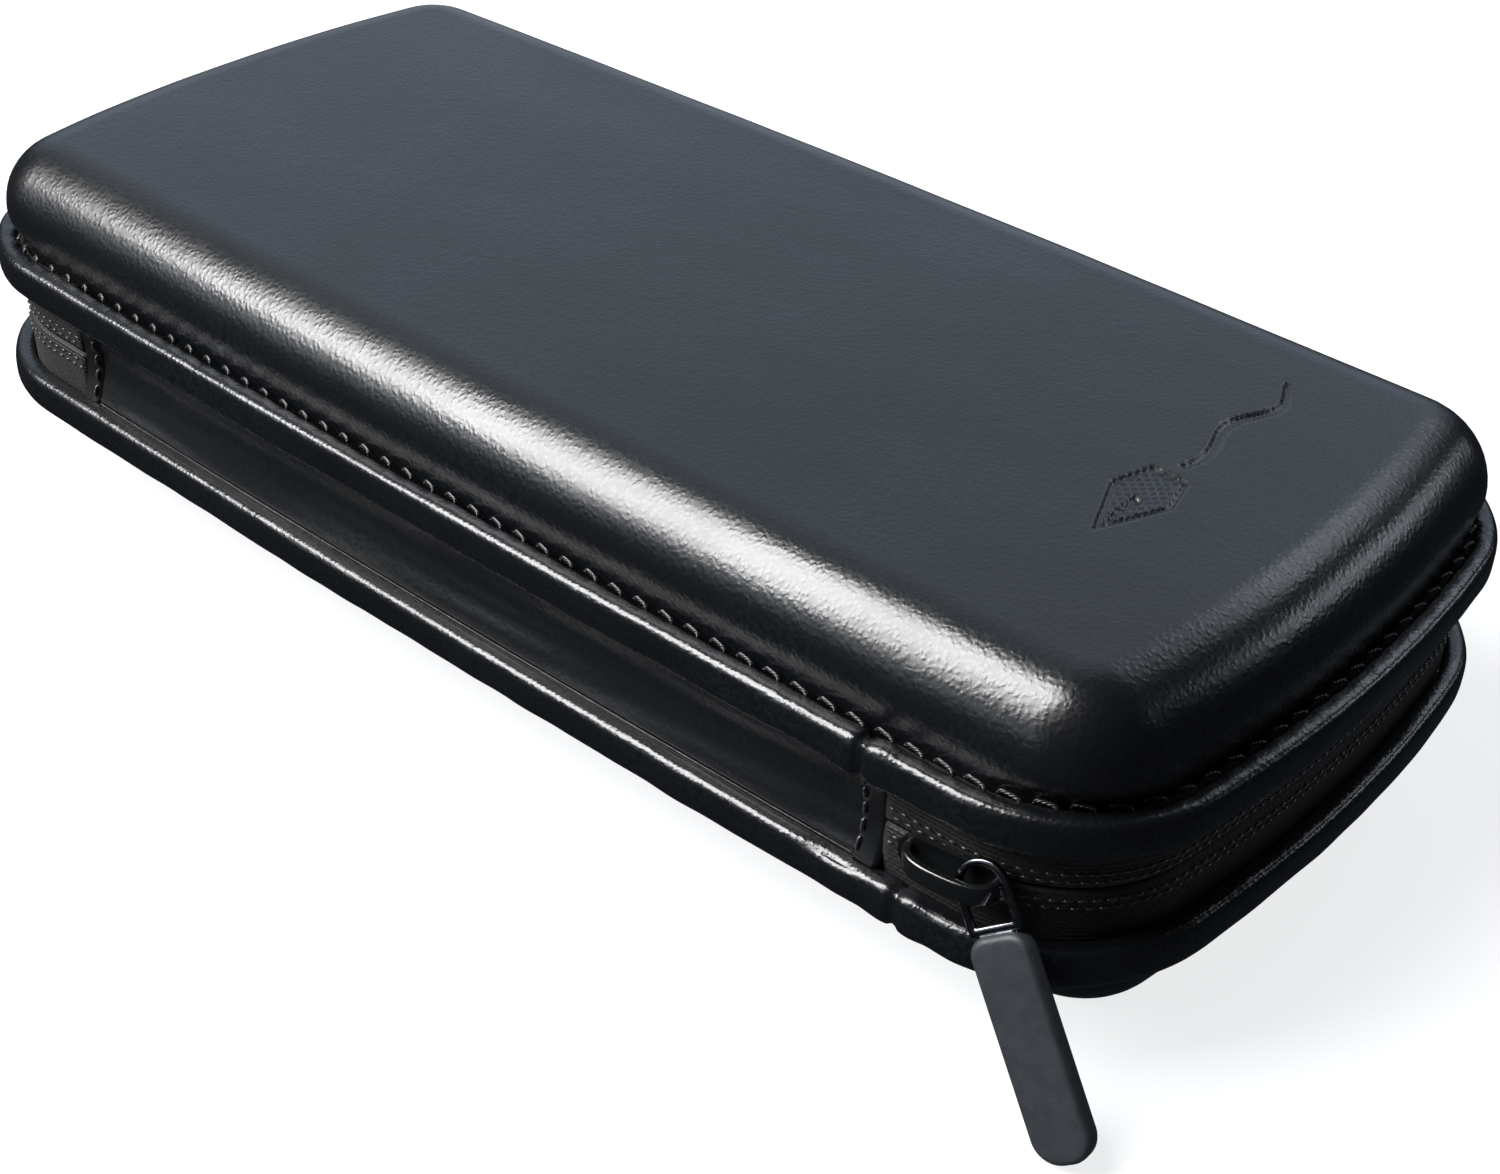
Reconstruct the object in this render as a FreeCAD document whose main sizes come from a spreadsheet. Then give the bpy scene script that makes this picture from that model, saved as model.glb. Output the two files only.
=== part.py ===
"""Hard-shell zip case for fountain pens: a parametric FreeCAD macro, millimetres.

Frame: +X along the case, +Z up, -Y the side with the leather spine. The origin is
the middle of the flat underside. Both halves are moulded foam trays wrapped in
leather. A rolled leather rim, a zip tape and a coil run round each half.
"""
import FreeCAD, Part
import math
import os
import Sketcher
from FreeCAD import Placement, Rotation, Vector

os.makedirs("parts", exist_ok=True)
doc = FreeCAD.newDocument("pen_case")

# ------------------------------------------------------------------ driving sizes
SIZES = {
    # outline of the rim's centreline, seen from above
    "half_length": 96.5, "half_width": 45.2, "rim_corner": 19.0,
    "side_bow": 3000.0, "end_bow": 200.0,
    # levels
    "case_height": 46.0, "rim_level": 14.5, "half_depth": 16.9, "lip_depth": 11.2,
    # rolled leather rim and the filler cord inside it
    "rim_out": 1.9, "rim_in": 1.1, "rim_height": 5.0, "rim_round": 2.2,
    "cord_out": 0.9, "cord_in": 1.05, "cord_height": 2.2, "cord_round": 0.9, "fit_gap": 0.08,
    # layers of a moulded half: leather, foam and lining
    "cover_inset": 1.8, "cover_wall": 0.9, "shell_wall": 2.6, "lining_wall": 0.7, "layer_gap": 0.06,
    "face_corner": 11.0, "lid_fillet": 9.0, "base_fillet": 6.5,
    "base_side_inset": 8.6, "base_end_inset": 3.4,
    # zip tape, coil and stops
    "tape_inset": 1.15, "tape_wall": 0.55, "tape_foot": 13.0, "tape_edge": 22.45,
    "coil_inset": 1.76, "coil_width": 1.6, "coil_low": 20.9, "coil_high": 22.35, "coil_round": 0.5,
    "stop_length": 1.8, "stop_width": 1.9, "coil_start": 1.9,
    # leather spine between the two rims
    "spine_left": -69.0, "spine_right": 67.0, "spine_inset": 0.9, "spine_wall": 1.0,
    "spine_low": 18.0, "spine_high": 28.0, "strip_width": 3.4, "strip_wall": 0.45,
    "spine_lining_wall": 0.6,
    # slider: its place round the first corner, in degrees, and its turn about Z
    "slider_station": 3.0, "slider_yaw": 8.0,
    "plate_half": 6.4, "plate_low": 20.6, "plate_high": 24.9, "plate_inset": 0.55, "plate_wall": 0.75,
    "plate_round": 1.9, "inner_plate_half": 4.6, "inner_plate_inset": 4.9, "inner_plate_wall": 0.9,
    "inner_plate_low": 19.3, "inner_plate_high": 25.0, "flange_inset": 3.2, "flange_high": 20.1,
    "post_half": 1.4, "post_low": 22.65, "post_high": 23.35,
    "crown_half": 5.5, "crown_reach": 3.15, "crown_low": 21.9, "crown_high": 24.3, "crown_wall": 0.9,
    "crown_round": 1.8,
    # pull: a flat link hung on the crown's end, and the grip moulded on it
    "pivot_along": 4.0, "pivot_out": 1.4, "pivot_level": 23.65, "pull_lean": 18.0, "pull_swing": 34.8,
    "link_half": 3.05, "link_bar": 0.8, "link_wall": 0.8, "link_foot": 3.9, "tongue_half": 2.2,
    "tongue_end": 11.5, "tongue_root": 0.5, "grip_half": 3.4, "grip_top": 4.85, "grip_end": 29.0,
    "grip_wall": 2.6, "grip_round": 2.9, "grip_edge": 0.7, "grip_gap": 0.05,
    # pen tray and its elastic loops
    "tray_fit": 0.15, "tray_top": 12.0, "groove_radius": 7.0, "groove_pitch": 22.0,
    "groove_length": 160.0, "loop_wall": 0.9, "loop_width": 24.0, "loop_foot": 2.0,
    "loop_overlap": 0.3,
    # slip pocket in the lid
    "pocket_low": 35.2, "pocket_wall": 0.8, "pocket_left": -80.0, "pocket_right": 62.0,
    "pocket_half_width": 31.0, "pocket_roof": 41.55, "binding_width": 2.0, "binding_wall": 1.8,
    # emblem pressed into the lid
    "emblem_x": 69.5, "emblem_y": -14.0, "nib_length": 15.0, "nib_half": 3.9, "nib_line": 0.6,
    "emblem_depth": 0.35, "stroke_length": 24.0,
    # stitching
    "stitch_pitch": 3.7, "stitch_length": 2.4, "stitch_radius": 0.28, "stitch_inset": 1.1,
    "stitch_level": 11.66,
    # how far a cut runs past what it cuts, a seat into its mate, and a cut that clears everything
    "over_cut": 1.0, "over_lap": 0.1, "end_gap": 0.05, "clear_reach": 120.0, "clear_width": 60.0,
    "clear_depth": 30.0,
}
sheet = doc.addObject("Spreadsheet::Sheet", "Sizes")
for row, (alias, value) in enumerate(SIZES.items(), start=1):
    sheet.set("A%d" % row, alias)
    sheet.set("B%d" % row, str(value))
    sheet.setAlias("B%d" % row, alias)
doc.recompute()


class Dim:
    """A length that knows its value now and the sheet expression that drives it."""

    def __init__(self, value, text):
        self.value = float(value)
        self.text = text

    def __add__(self, other):
        other = as_dim(other)
        return Dim(self.value + other.value, "(%s + %s)" % (self.text, other.text))

    def __sub__(self, other):
        other = as_dim(other)
        return Dim(self.value - other.value, "(%s - %s)" % (self.text, other.text))

    def __rsub__(self, other):
        return as_dim(other) - self

    def __mul__(self, factor):
        return Dim(self.value * factor, "(%s * %s)" % (self.text, factor))

    def __neg__(self):
        return self * -1

    __radd__ = __add__
    __rmul__ = __mul__


def as_dim(value):
    return value if isinstance(value, Dim) else Dim(value, repr(float(value)))


def dim(alias):
    """One cell of the sheet."""
    return Dim(float(sheet.get(alias)), "Sizes." + alias)


# ------------------------------------------------------------------ sketch helpers
def origin_plane(body, role):
    return next(f for f in body.Origin.OriginFeatures if f.Role == role)


def new_body(label):
    body = doc.addObject("PartDesign::Body", label)
    body.Label = label
    return body


def new_sketch(body, name, level=0.0, role="XY_Plane"):
    """Sketch on an origin plane of its body, shifted along the plane's normal."""
    sketch = body.newObject("Sketcher::SketchObject", name)
    sketch.AttachmentSupport = [(origin_plane(body, role), "")]
    sketch.MapMode = "FlatFace"
    level = as_dim(level)
    sketch.AttachmentOffset = Placement(Vector(0, 0, level.value), Rotation())
    sketch.setExpression("AttachmentOffset.Base.z", level.text)
    return sketch


def drive(sketch, kind, first, datum):
    """Add a dimension whose value follows the sheet."""
    index = sketch.addConstraint(Sketcher.Constraint(kind, *first, datum.value))
    sketch.setExpression("Constraints[%d]" % index, datum.text)


def outline_arcs(half_length, half_width, corner):
    """Eight tangent arcs, anticlockwise from the +X end: centre, radius, start, end."""
    side, end = dim("side_bow").value, dim("end_bow").value
    top, right = Vector(0, half_width - side, 0), Vector(half_length - end, 0, 0)
    reach_top, reach_right = side - corner, end - corner
    gap = right - top
    along = (reach_top ** 2 - reach_right ** 2 + gap.Length ** 2) / (2 * gap.Length)
    across = math.sqrt(reach_top ** 2 - along ** 2)
    unit = gap / gap.Length
    centre = top + unit * along + Vector(unit.y, -unit.x, 0) * across
    low = math.atan2(centre.y - right.y, centre.x - right.x)
    high = math.atan2(centre.y - top.y, centre.x - top.x)
    pi = math.pi
    return [
        (right, end, -low, low),
        (centre, corner, low, high),
        (top, side, high, pi - high),
        (Vector(-centre.x, centre.y, 0), corner, pi - high, pi - low),
        (-1 * right, end, pi - low, pi + low),
        (-1 * centre, corner, pi + low, pi + high),
        (-1 * top, side, pi + high, 2 * pi - high),
        (Vector(centre.x, -centre.y, 0), corner, 2 * pi - high, 2 * pi - low),
    ]


def add_outline(sketch, half_length, half_width, corner):
    """The bowed rounded rectangle, fully constrained to the sheet."""
    side, end = dim("side_bow"), dim("end_bow")
    first = sketch.GeometryCount
    for centre, radius, start, stop in outline_arcs(half_length.value, half_width.value, corner.value):
        circle = Part.Circle(centre, Vector(0, 0, 1), radius)
        sketch.addGeometry(Part.ArcOfCircle(circle, start, stop), False)
    for k in range(8):
        sketch.addConstraint(Sketcher.Constraint("Tangent", first + k, 2, first + (k + 1) % 8, 1))
    radii = [end, corner, side, corner] * 2
    for k, radius in enumerate(radii):
        drive(sketch, "Radius", (first + k,), radius)
    for k in (0, 4):
        sketch.addConstraint(Sketcher.Constraint("PointOnObject", first + k, 3, -1))
    for k in (2, 6):
        sketch.addConstraint(Sketcher.Constraint("PointOnObject", first + k, 3, -2))
    drive(sketch, "DistanceX", (first, 3, -1, 1), end - half_length)
    drive(sketch, "DistanceX", (-1, 1, first + 4, 3), end - half_length)
    drive(sketch, "DistanceY", (first + 2, 3, -1, 1), side - half_width)
    drive(sketch, "DistanceY", (-1, 1, first + 6, 3), side - half_width)


def add_box(sketch, left, right, low, high):
    """A rectangle given by its four sides."""
    x0, x1, y0, y1 = (as_dim(v) for v in (left, right, low, high))
    corners = [Vector(x0.value, y0.value, 0), Vector(x1.value, y0.value, 0),
               Vector(x1.value, y1.value, 0), Vector(x0.value, y1.value, 0)]
    first = sketch.GeometryCount
    for k in range(4):
        sketch.addGeometry(Part.LineSegment(corners[k], corners[(k + 1) % 4]), False)
    for k in range(4):
        sketch.addConstraint(Sketcher.Constraint("Coincident", first + k, 2, first + (k + 1) % 4, 1))
    for k, kind in enumerate(("Horizontal", "Vertical", "Horizontal", "Vertical")):
        sketch.addConstraint(Sketcher.Constraint(kind, first + k))
    place_coordinate(sketch, "DistanceX", first, 1, x0)
    place_coordinate(sketch, "DistanceX", first + 1, 1, x1)
    place_coordinate(sketch, "DistanceY", first, 1, y0)
    place_coordinate(sketch, "DistanceY", first + 2, 1, y1)


def place_coordinate(sketch, kind, geometry, point, value):
    """Distance of a point from the sketch's origin, written the positive way round."""
    if value.value >= 0:
        drive(sketch, kind, (-1, 1, geometry, point), value)
    else:
        drive(sketch, kind, (geometry, point, -1, 1), -value)


def bind(feature, prop, value):
    value = as_dim(value)
    setattr(feature, prop, value.value)
    feature.setExpression(prop, value.text)


def edges_at(feature, level):
    """Names of a feature's edges that lie flat at one level."""
    names = []
    for k, edge in enumerate(feature.Shape.Edges, start=1):
        if all(abs(v.Point.z - level) < 1e-4 for v in edge.Vertexes) and \
                abs(edge.CenterOfMass.z - level) < 1e-3:
            names.append("Edge%d" % k)
    return names


# ------------------------------------------------------------------ solid helpers
def outline_sketch(body, name, level, inset, corner=None):
    """Sketch of the case outline moved inwards; the corner shrinks with it."""
    corner = dim("rim_corner") - inset if corner is None else corner
    sketch = new_sketch(body, name, level)
    add_outline(sketch, dim("half_length") - inset, dim("half_width") - inset, corner)
    return sketch


def pad(body, name, sketch, length, symmetric=False):
    feature = body.newObject("PartDesign::Pad", name)
    feature.Profile = sketch
    feature.Midplane = symmetric
    bind(feature, "Length", length)
    return feature


def pocket(body, name, sketch, length, symmetric=False):
    """Cut away material behind the sketch; the volume has to go down."""
    doc.recompute()
    before = body.Shape.Volume
    feature = body.newObject("PartDesign::Pocket", name)
    feature.Profile = sketch
    feature.Midplane = symmetric
    bind(feature, "Length", length)
    doc.recompute()
    if feature.Shape.Volume >= before - 1e-6:
        raise RuntimeError(body.Label + ": pocket " + name + " cuts nothing")
    return feature


def cut_beside_spine(body, high, left, right):
    """Open a ring along the spine side, between two stations of X."""
    sketch = new_sketch(body, "spine_gap", high)
    add_box(sketch, left, right, -dim("clear_width"), -dim("half_width") * 0.5)
    return pocket(body, "spine_cut", sketch, dim("clear_depth"))


def ring(label, outer, inner, low, high, rounding=None):
    """Band that follows the outline between two insets and two levels."""
    low, high = as_dim(low), as_dim(high)
    body = new_body(label)
    base = pad(body, "band", outline_sketch(body, "outside", low, outer), high - low)
    if rounding is not None:
        doc.recompute()
        rounded = body.newObject("PartDesign::Fillet", "rounding")
        rounded.Base = (base, edges_at(base, low.value) + edges_at(base, high.value))
        bind(rounded, "Radius", rounding)
    over = dim("over_cut")
    pocket(body, "middle", outline_sketch(body, "inside", high + over, inner), high - low + over * 2)
    return body


def halves(depth_low, depth_high, upper):
    """Levels of a band given by its depths from the outer face of one half."""
    if upper:
        return dim("case_height") - depth_high, dim("case_height") - depth_low
    return as_dim(depth_low), as_dim(depth_high)


ROUND_STEPS = 6


def dish_sections(upper, offset, open_depth):
    """Depth, end inset, side inset and corner of each section, from the open side to the face."""
    lip_inset = dim("cover_inset") + offset
    lip_corner = dim("rim_corner") - dim("cover_inset") - offset
    fillet = dim("lid_fillet" if upper else "base_fillet")
    end_inset = dim("cover_inset" if upper else "base_end_inset")
    side_inset = dim("cover_inset" if upper else "base_side_inset")
    sections = [(open_depth, lip_inset, lip_inset, lip_corner),
                (dim("lip_depth"), lip_inset, lip_inset, lip_corner)]
    for k in range(ROUND_STEPS + 1):
        angle = math.pi / 2 * k / ROUND_STEPS
        sideways, down = round(1 - math.cos(angle), 6), round(1 - math.sin(angle), 6)
        turned = (fillet - offset) * sideways
        sections.append((offset + (fillet - offset) * down, end_inset + offset + turned,
                         side_inset + offset + turned, dim("face_corner") - offset - turned))
    return sections


def loft_dish(body, kind, name, upper, offset, open_depth):
    """Loft the moulded form of one half, moved inwards by an offset."""
    sketches = []
    for k, (depth, end_inset, side_inset, corner) in enumerate(dish_sections(upper, offset, open_depth)):
        level = dim("case_height") - depth if upper else depth
        sketch = new_sketch(body, "%s_%d" % (name, k), level)
        add_outline(sketch, dim("half_length") - end_inset, dim("half_width") - side_inset, corner)
        sketches.append(sketch)
    feature = body.newObject("PartDesign::" + kind, name)
    feature.Profile = sketches[0]
    feature.Sections = sketches[1:]
    feature.Ruled = True
    doc.recompute()
    return feature


def dish(label, upper, offset, wall):
    """One layer of a moulded half: the form less the same form moved in by the wall."""
    body = new_body(label)
    loft_dish(body, "AdditiveLoft", "form", upper, offset, dim("half_depth"))
    loft_dish(body, "SubtractiveLoft", "hollow", upper, offset + wall, dim("half_depth"))
    return body


def solid_box(body, name, role, left, right, low, high, start, end):
    """Pad a rectangle drawn on an origin plane from one distance to another."""
    sketch = new_sketch(body, name + "_sketch", start, role)
    add_box(sketch, left, right, low, high)
    return pad(body, name, sketch, as_dim(end) - start)


# ------------------------------------------------------------------ the two moulded halves
def layer_offsets():
    """Offsets of cover, shell and lining from the outer face, and of the hollow inside them."""
    cover = dim("cover_wall")
    shell = cover + dim("layer_gap")
    lining = shell + dim("shell_wall") + dim("layer_gap")
    return shell, lining, lining + dim("lining_wall")


def make_half(prefix, upper):
    shell_offset, lining_offset, _ = layer_offsets()
    cover = dish(prefix + "_cover", upper, as_dim(0.0), dim("cover_wall"))
    dish(prefix + "_shell", upper, shell_offset, dim("shell_wall"))
    dish(prefix + "_lining", upper, lining_offset, dim("lining_wall"))
    make_rim(prefix, upper)
    make_zip_side(prefix, upper)
    make_stitches(prefix, upper)
    return cover


def make_rim(prefix, upper):
    """Rolled leather rim, open on its inner side, with the filler cord in it."""
    half = dim("rim_height") * 0.5
    low, high = halves(dim("rim_level") - half, dim("rim_level") + half, upper)
    rim = ring(prefix + "_rim", -dim("rim_out"), dim("rim_in"), low, high, dim("rim_round"))
    channel = dim("cord_height") * 0.5 + dim("fit_gap")
    bottom, top = halves(dim("rim_level") - channel, dim("rim_level") + channel, upper)
    cavity = outline_sketch(rim, "cord_channel", top, -dim("cord_out") - dim("fit_gap"))
    pocket(rim, "channel", cavity, top - bottom)
    half_cord = dim("cord_height") * 0.5
    low, high = halves(dim("rim_level") - half_cord, dim("rim_level") + half_cord, upper)
    ring(prefix + "_rim_cord", -dim("cord_out"), dim("cord_in"), low, high, dim("cord_round"))


def make_zip_side(prefix, upper):
    """Woven tape, coil and the two stops of one side of the zip."""
    tape_end = dim("tape_inset") + dim("tape_wall")
    low, high = halves(dim("tape_foot"), dim("tape_edge"), upper)
    tape = ring(prefix + "_zip_tape", dim("tape_inset"), tape_end, low, high)
    cut_beside_spine(tape, high + dim("over_cut"), dim("spine_left"), dim("spine_right"))
    low, high = halves(dim("coil_low"), dim("coil_high"), upper)
    coil = ring(prefix + "_zip_coil", dim("coil_inset"), dim("coil_inset") + dim("coil_width"), low, high,
                dim("coil_round"))
    cut_beside_spine(coil, high + dim("over_cut"), dim("spine_left") - dim("coil_start"),
                     dim("spine_right") + dim("coil_start"))
    gap = dim("end_gap")
    for name, start in (("front", dim("spine_right") + gap),
                        ("back", dim("spine_left") - gap - dim("stop_length"))):
        stop = ring(prefix + "_zip_stop_" + name, dim("coil_inset"), dim("coil_inset") + dim("stop_width"),
                    low, high)
        keep_stretch(stop, high, start, start + dim("stop_length"))


def keep_stretch(body, high, left, right):
    """Keep only the part of a ring on the spine side between two stations of X."""
    level, reach, width = high + dim("over_cut"), dim("clear_reach"), dim("clear_width")
    ends = new_sketch(body, "both_ends", level)
    add_box(ends, right, reach, -width, width)
    add_box(ends, -reach, left, -width, width)
    pocket(body, "ends_cut", ends, dim("clear_depth"))
    far_side = new_sketch(body, "far_side", level)
    add_box(far_side, -reach, reach, 0.0, width)
    pocket(body, "far_cut", far_side, dim("clear_depth"))


def outline_point(arcs, distance):
    """Position and direction at a distance along the outline, from the +X end."""
    for centre, radius, start, stop in arcs:
        length = radius * (stop - start)
        if distance <= length:
            angle = start + distance / radius
            place = centre + Vector(math.cos(angle), math.sin(angle), 0) * radius
            return place, Vector(-math.sin(angle), math.cos(angle), 0)
        distance -= length
    raise ValueError("distance is longer than the outline")


def make_stitches(prefix, upper):
    """Lockstitches in the groove between cover and rim, as short thread lengths."""
    inset = dim("stitch_inset").value
    arcs = outline_arcs(dim("half_length").value - inset, dim("half_width").value - inset,
                        dim("rim_corner").value - inset)
    total = sum(radius * (stop - start) for _, radius, start, stop in arcs)
    count = round(total / dim("stitch_pitch").value)
    level = dim("stitch_level").value
    level = dim("case_height").value - level if upper else level
    length = dim("stitch_length").value
    threads = []
    for k in range(count):
        place, along = outline_point(arcs, (k + 0.5) * total / count)
        start = place - along * (length / 2) + Vector(0, 0, level)
        threads.append(Part.makeCylinder(dim("stitch_radius").value, length, start, along))
    feature = doc.addObject("Part::Feature", prefix + "_stitches")
    feature.Shape = Part.makeCompound(threads)
    feature.Label = prefix + "_stitches"
    feature.Placement = Placement()


# the pressed nib: how much the inner outline's tip draws back, where the slit and the stroke
# start (all in line widths), and its shoulders' place and its heel's width as shares
NIB_TIP_SHARE, SLIT_START, STROKE_GAP = 1.6, 4.0, 3.0
NIB_SHOULDER, NIB_HEEL = 0.62, 0.62


def press_emblem(cover):
    """Nib outline and a pen stroke, pressed into the lid's top face."""
    top = dim("case_height")
    x, y = dim("emblem_x"), dim("emblem_y")
    half, line = dim("nib_half"), dim("nib_line")
    sketch = new_sketch(cover, "nib_outline", top)
    for size_down in (as_dim(0.0), line):
        tip = y + size_down * NIB_TIP_SHARE
        add_nib(sketch, x, tip, half - size_down, dim("nib_length") - size_down * NIB_TIP_SHARE * 2)
    pocket(cover, "nib_press", sketch, dim("emblem_depth"))
    slit = new_sketch(cover, "slit_and_stroke", top)
    add_box(slit, x - line * 0.5, x + line * 0.5, y + line * SLIT_START, y + dim("nib_length") * 0.5)
    start = y + dim("nib_length") + line * STROKE_GAP
    add_box(slit, x - line * 0.5, x + line * 0.5, start, start + dim("stroke_length"))
    pocket(cover, "slit_press", slit, dim("emblem_depth"))


def add_nib(sketch, x, tip, half, length):
    """A pen nib seen from above: straight flanks from the tip to the shoulders, then the heel."""
    shoulder, heel = tip + length * NIB_SHOULDER, half * NIB_HEEL
    points = [(x, tip), (x + half, shoulder), (x + heel, tip + length),
              (x - heel, tip + length), (x - half, shoulder)]
    first = sketch.GeometryCount
    count = len(points)
    for k in range(count):
        (ax, ay), (bx, by) = points[k], points[(k + 1) % count]
        line = Part.LineSegment(Vector(ax.value, ay.value, 0), Vector(bx.value, by.value, 0))
        sketch.addGeometry(line, False)
    for k in range(count):
        sketch.addConstraint(Sketcher.Constraint("Coincident", first + k, 2, first + (k + 1) % count, 1))
    for k, (px, py) in enumerate(points):
        place_coordinate(sketch, "DistanceX", first + k, 1, px)
        place_coordinate(sketch, "DistanceY", first + k, 1, py)


# ------------------------------------------------------------------ leather spine
def spine_piece(label, outer, wall, left, right):
    """Upright strip of the spine wall between two stations of X."""
    low, high = dim("spine_low"), dim("spine_high")
    body = ring(label, outer, outer + wall, low, high)
    keep_stretch(body, high, left, right)


def make_spine():
    left, right = dim("spine_left"), dim("spine_right")
    inset, wall = dim("spine_inset"), dim("spine_wall")
    spine_piece("spine_panel", inset, wall, left, right)
    spine_piece("spine_lining", inset + wall + dim("layer_gap"), dim("spine_lining_wall"), left, right)
    outer = inset - dim("strip_wall") - dim("layer_gap")
    spine_piece("spine_end_back", outer, dim("strip_wall"), left, left + dim("strip_width"))
    spine_piece("spine_end_front", outer, dim("strip_wall"), right - dim("strip_width"), right)


# ------------------------------------------------------------------ slider and pull
def slider_place():
    """Frame of the slider: on the rim's centreline, a little way round the +X, -Y corner."""
    corner = dim("rim_corner").value
    centre = outline_arcs(dim("half_length").value, dim("half_width").value, corner)[1][0]
    station = math.radians(dim("slider_station").value)
    point = Vector(centre.x + corner * math.sin(station), -centre.y - corner * math.cos(station), 0)
    return Placement(point, Rotation(Vector(0, 0, 1), dim("slider_yaw").value))


def make_slider(place):
    """Die-cast slider: outer plate, post, inner plate with its lower flange; then the crown."""
    body = new_body("slider_body")
    half = dim("plate_half")
    outer_face = dim("plate_inset") - dim("plate_wall")
    plate = solid_box(body, "outer_plate", "XY_Plane", -half, half, outer_face, dim("plate_inset"),
                      dim("plate_low"), dim("plate_high"))
    doc.recompute()
    corners = ["Edge%d" % k for k, e in enumerate(plate.Shape.Edges, start=1)
               if abs(e.Length - dim("plate_wall").value) < 1e-6]
    rounded = body.newObject("PartDesign::Fillet", "plate_ends")
    rounded.Base = (plate, corners)
    bind(rounded, "Radius", dim("plate_round"))
    post, lap = dim("post_half"), dim("over_lap")
    solid_box(body, "post", "XY_Plane", -post, post, dim("plate_inset") - lap,
              dim("inner_plate_inset") + lap, dim("post_low"), dim("post_high"))
    half = dim("inner_plate_half")
    inner = dim("inner_plate_inset")
    solid_box(body, "inner_plate", "XY_Plane", -half, half, inner, inner + dim("inner_plate_wall"),
              dim("inner_plate_low"), dim("inner_plate_high"))
    solid_box(body, "flange", "XY_Plane", -half, half, dim("flange_inset"), inner + lap,
              dim("inner_plate_low"), dim("flange_high"))
    body.Placement = place
    make_crown(place, outer_face)


def make_crown(place, foot):
    """Bow over the outer plate that the pull's link hangs on."""
    body = new_body("slider_crown")
    half, wall = dim("crown_half"), dim("crown_wall")
    front = foot - dim("crown_reach")
    low, high = dim("crown_low"), dim("crown_high")
    bow = solid_box(body, "bow", "XY_Plane", -half, half, front, foot, low, high)
    doc.recompute()
    corners = ["Edge%d" % k for k, e in enumerate(bow.Shape.Edges, start=1)
               if abs(e.Length - (high - low).value) < 1e-6 and e.CenterOfMass.y < front.value + wall.value]
    rounded = body.newObject("PartDesign::Fillet", "bow_ends")
    rounded.Base = (bow, corners)
    bind(rounded, "Radius", dim("crown_round"))
    over = dim("over_cut")
    window = new_sketch(body, "window", high + over)
    add_box(window, wall - half, half - wall, front + wall, foot + over)
    pocket(body, "window_cut", window, high - low + over * 2)
    body.Placement = place


def pull_placement(place):
    """The pull leans outwards and swings towards +X about the end of the crown."""
    pivot = Vector(dim("pivot_along").value, -dim("pivot_out").value, dim("pivot_level").value)
    lean = Rotation(Vector(1, 0, 0), -dim("pull_lean").value)
    swing = Rotation(Vector(0, 1, 0), -dim("pull_swing").value)
    return place.multiply(Placement(pivot, lean * swing))


def add_stadium_top(sketch, half, foot):
    """Window or plate with a round top about the origin and a square foot below it."""
    arc = Part.ArcOfCircle(Part.Circle(Vector(0, 0, 0), Vector(0, 0, 1), half.value), 0, math.pi)
    right, left = Vector(half.value, 0, 0), Vector(-half.value, 0, 0)
    down = Vector(0, -foot.value, 0)
    first = sketch.addGeometry(arc, False)
    sketch.addGeometry(Part.LineSegment(left, left + down), False)
    sketch.addGeometry(Part.LineSegment(left + down, right + down), False)
    sketch.addGeometry(Part.LineSegment(right + down, right), False)
    sketch.addConstraint(Sketcher.Constraint("Coincident", first, 3, -1, 1))
    for k in range(4):
        sketch.addConstraint(Sketcher.Constraint("Coincident", first + k, 2, first + (k + 1) % 4, 1))
    sketch.addConstraint(Sketcher.Constraint("PointOnObject", first, 1, -1))
    sketch.addConstraint(Sketcher.Constraint("Vertical", first + 1))
    sketch.addConstraint(Sketcher.Constraint("Horizontal", first + 2))
    sketch.addConstraint(Sketcher.Constraint("Vertical", first + 3))
    drive(sketch, "Radius", (first,), half)
    drive(sketch, "DistanceY", (first + 1, 2, -1, 1), foot)


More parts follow.
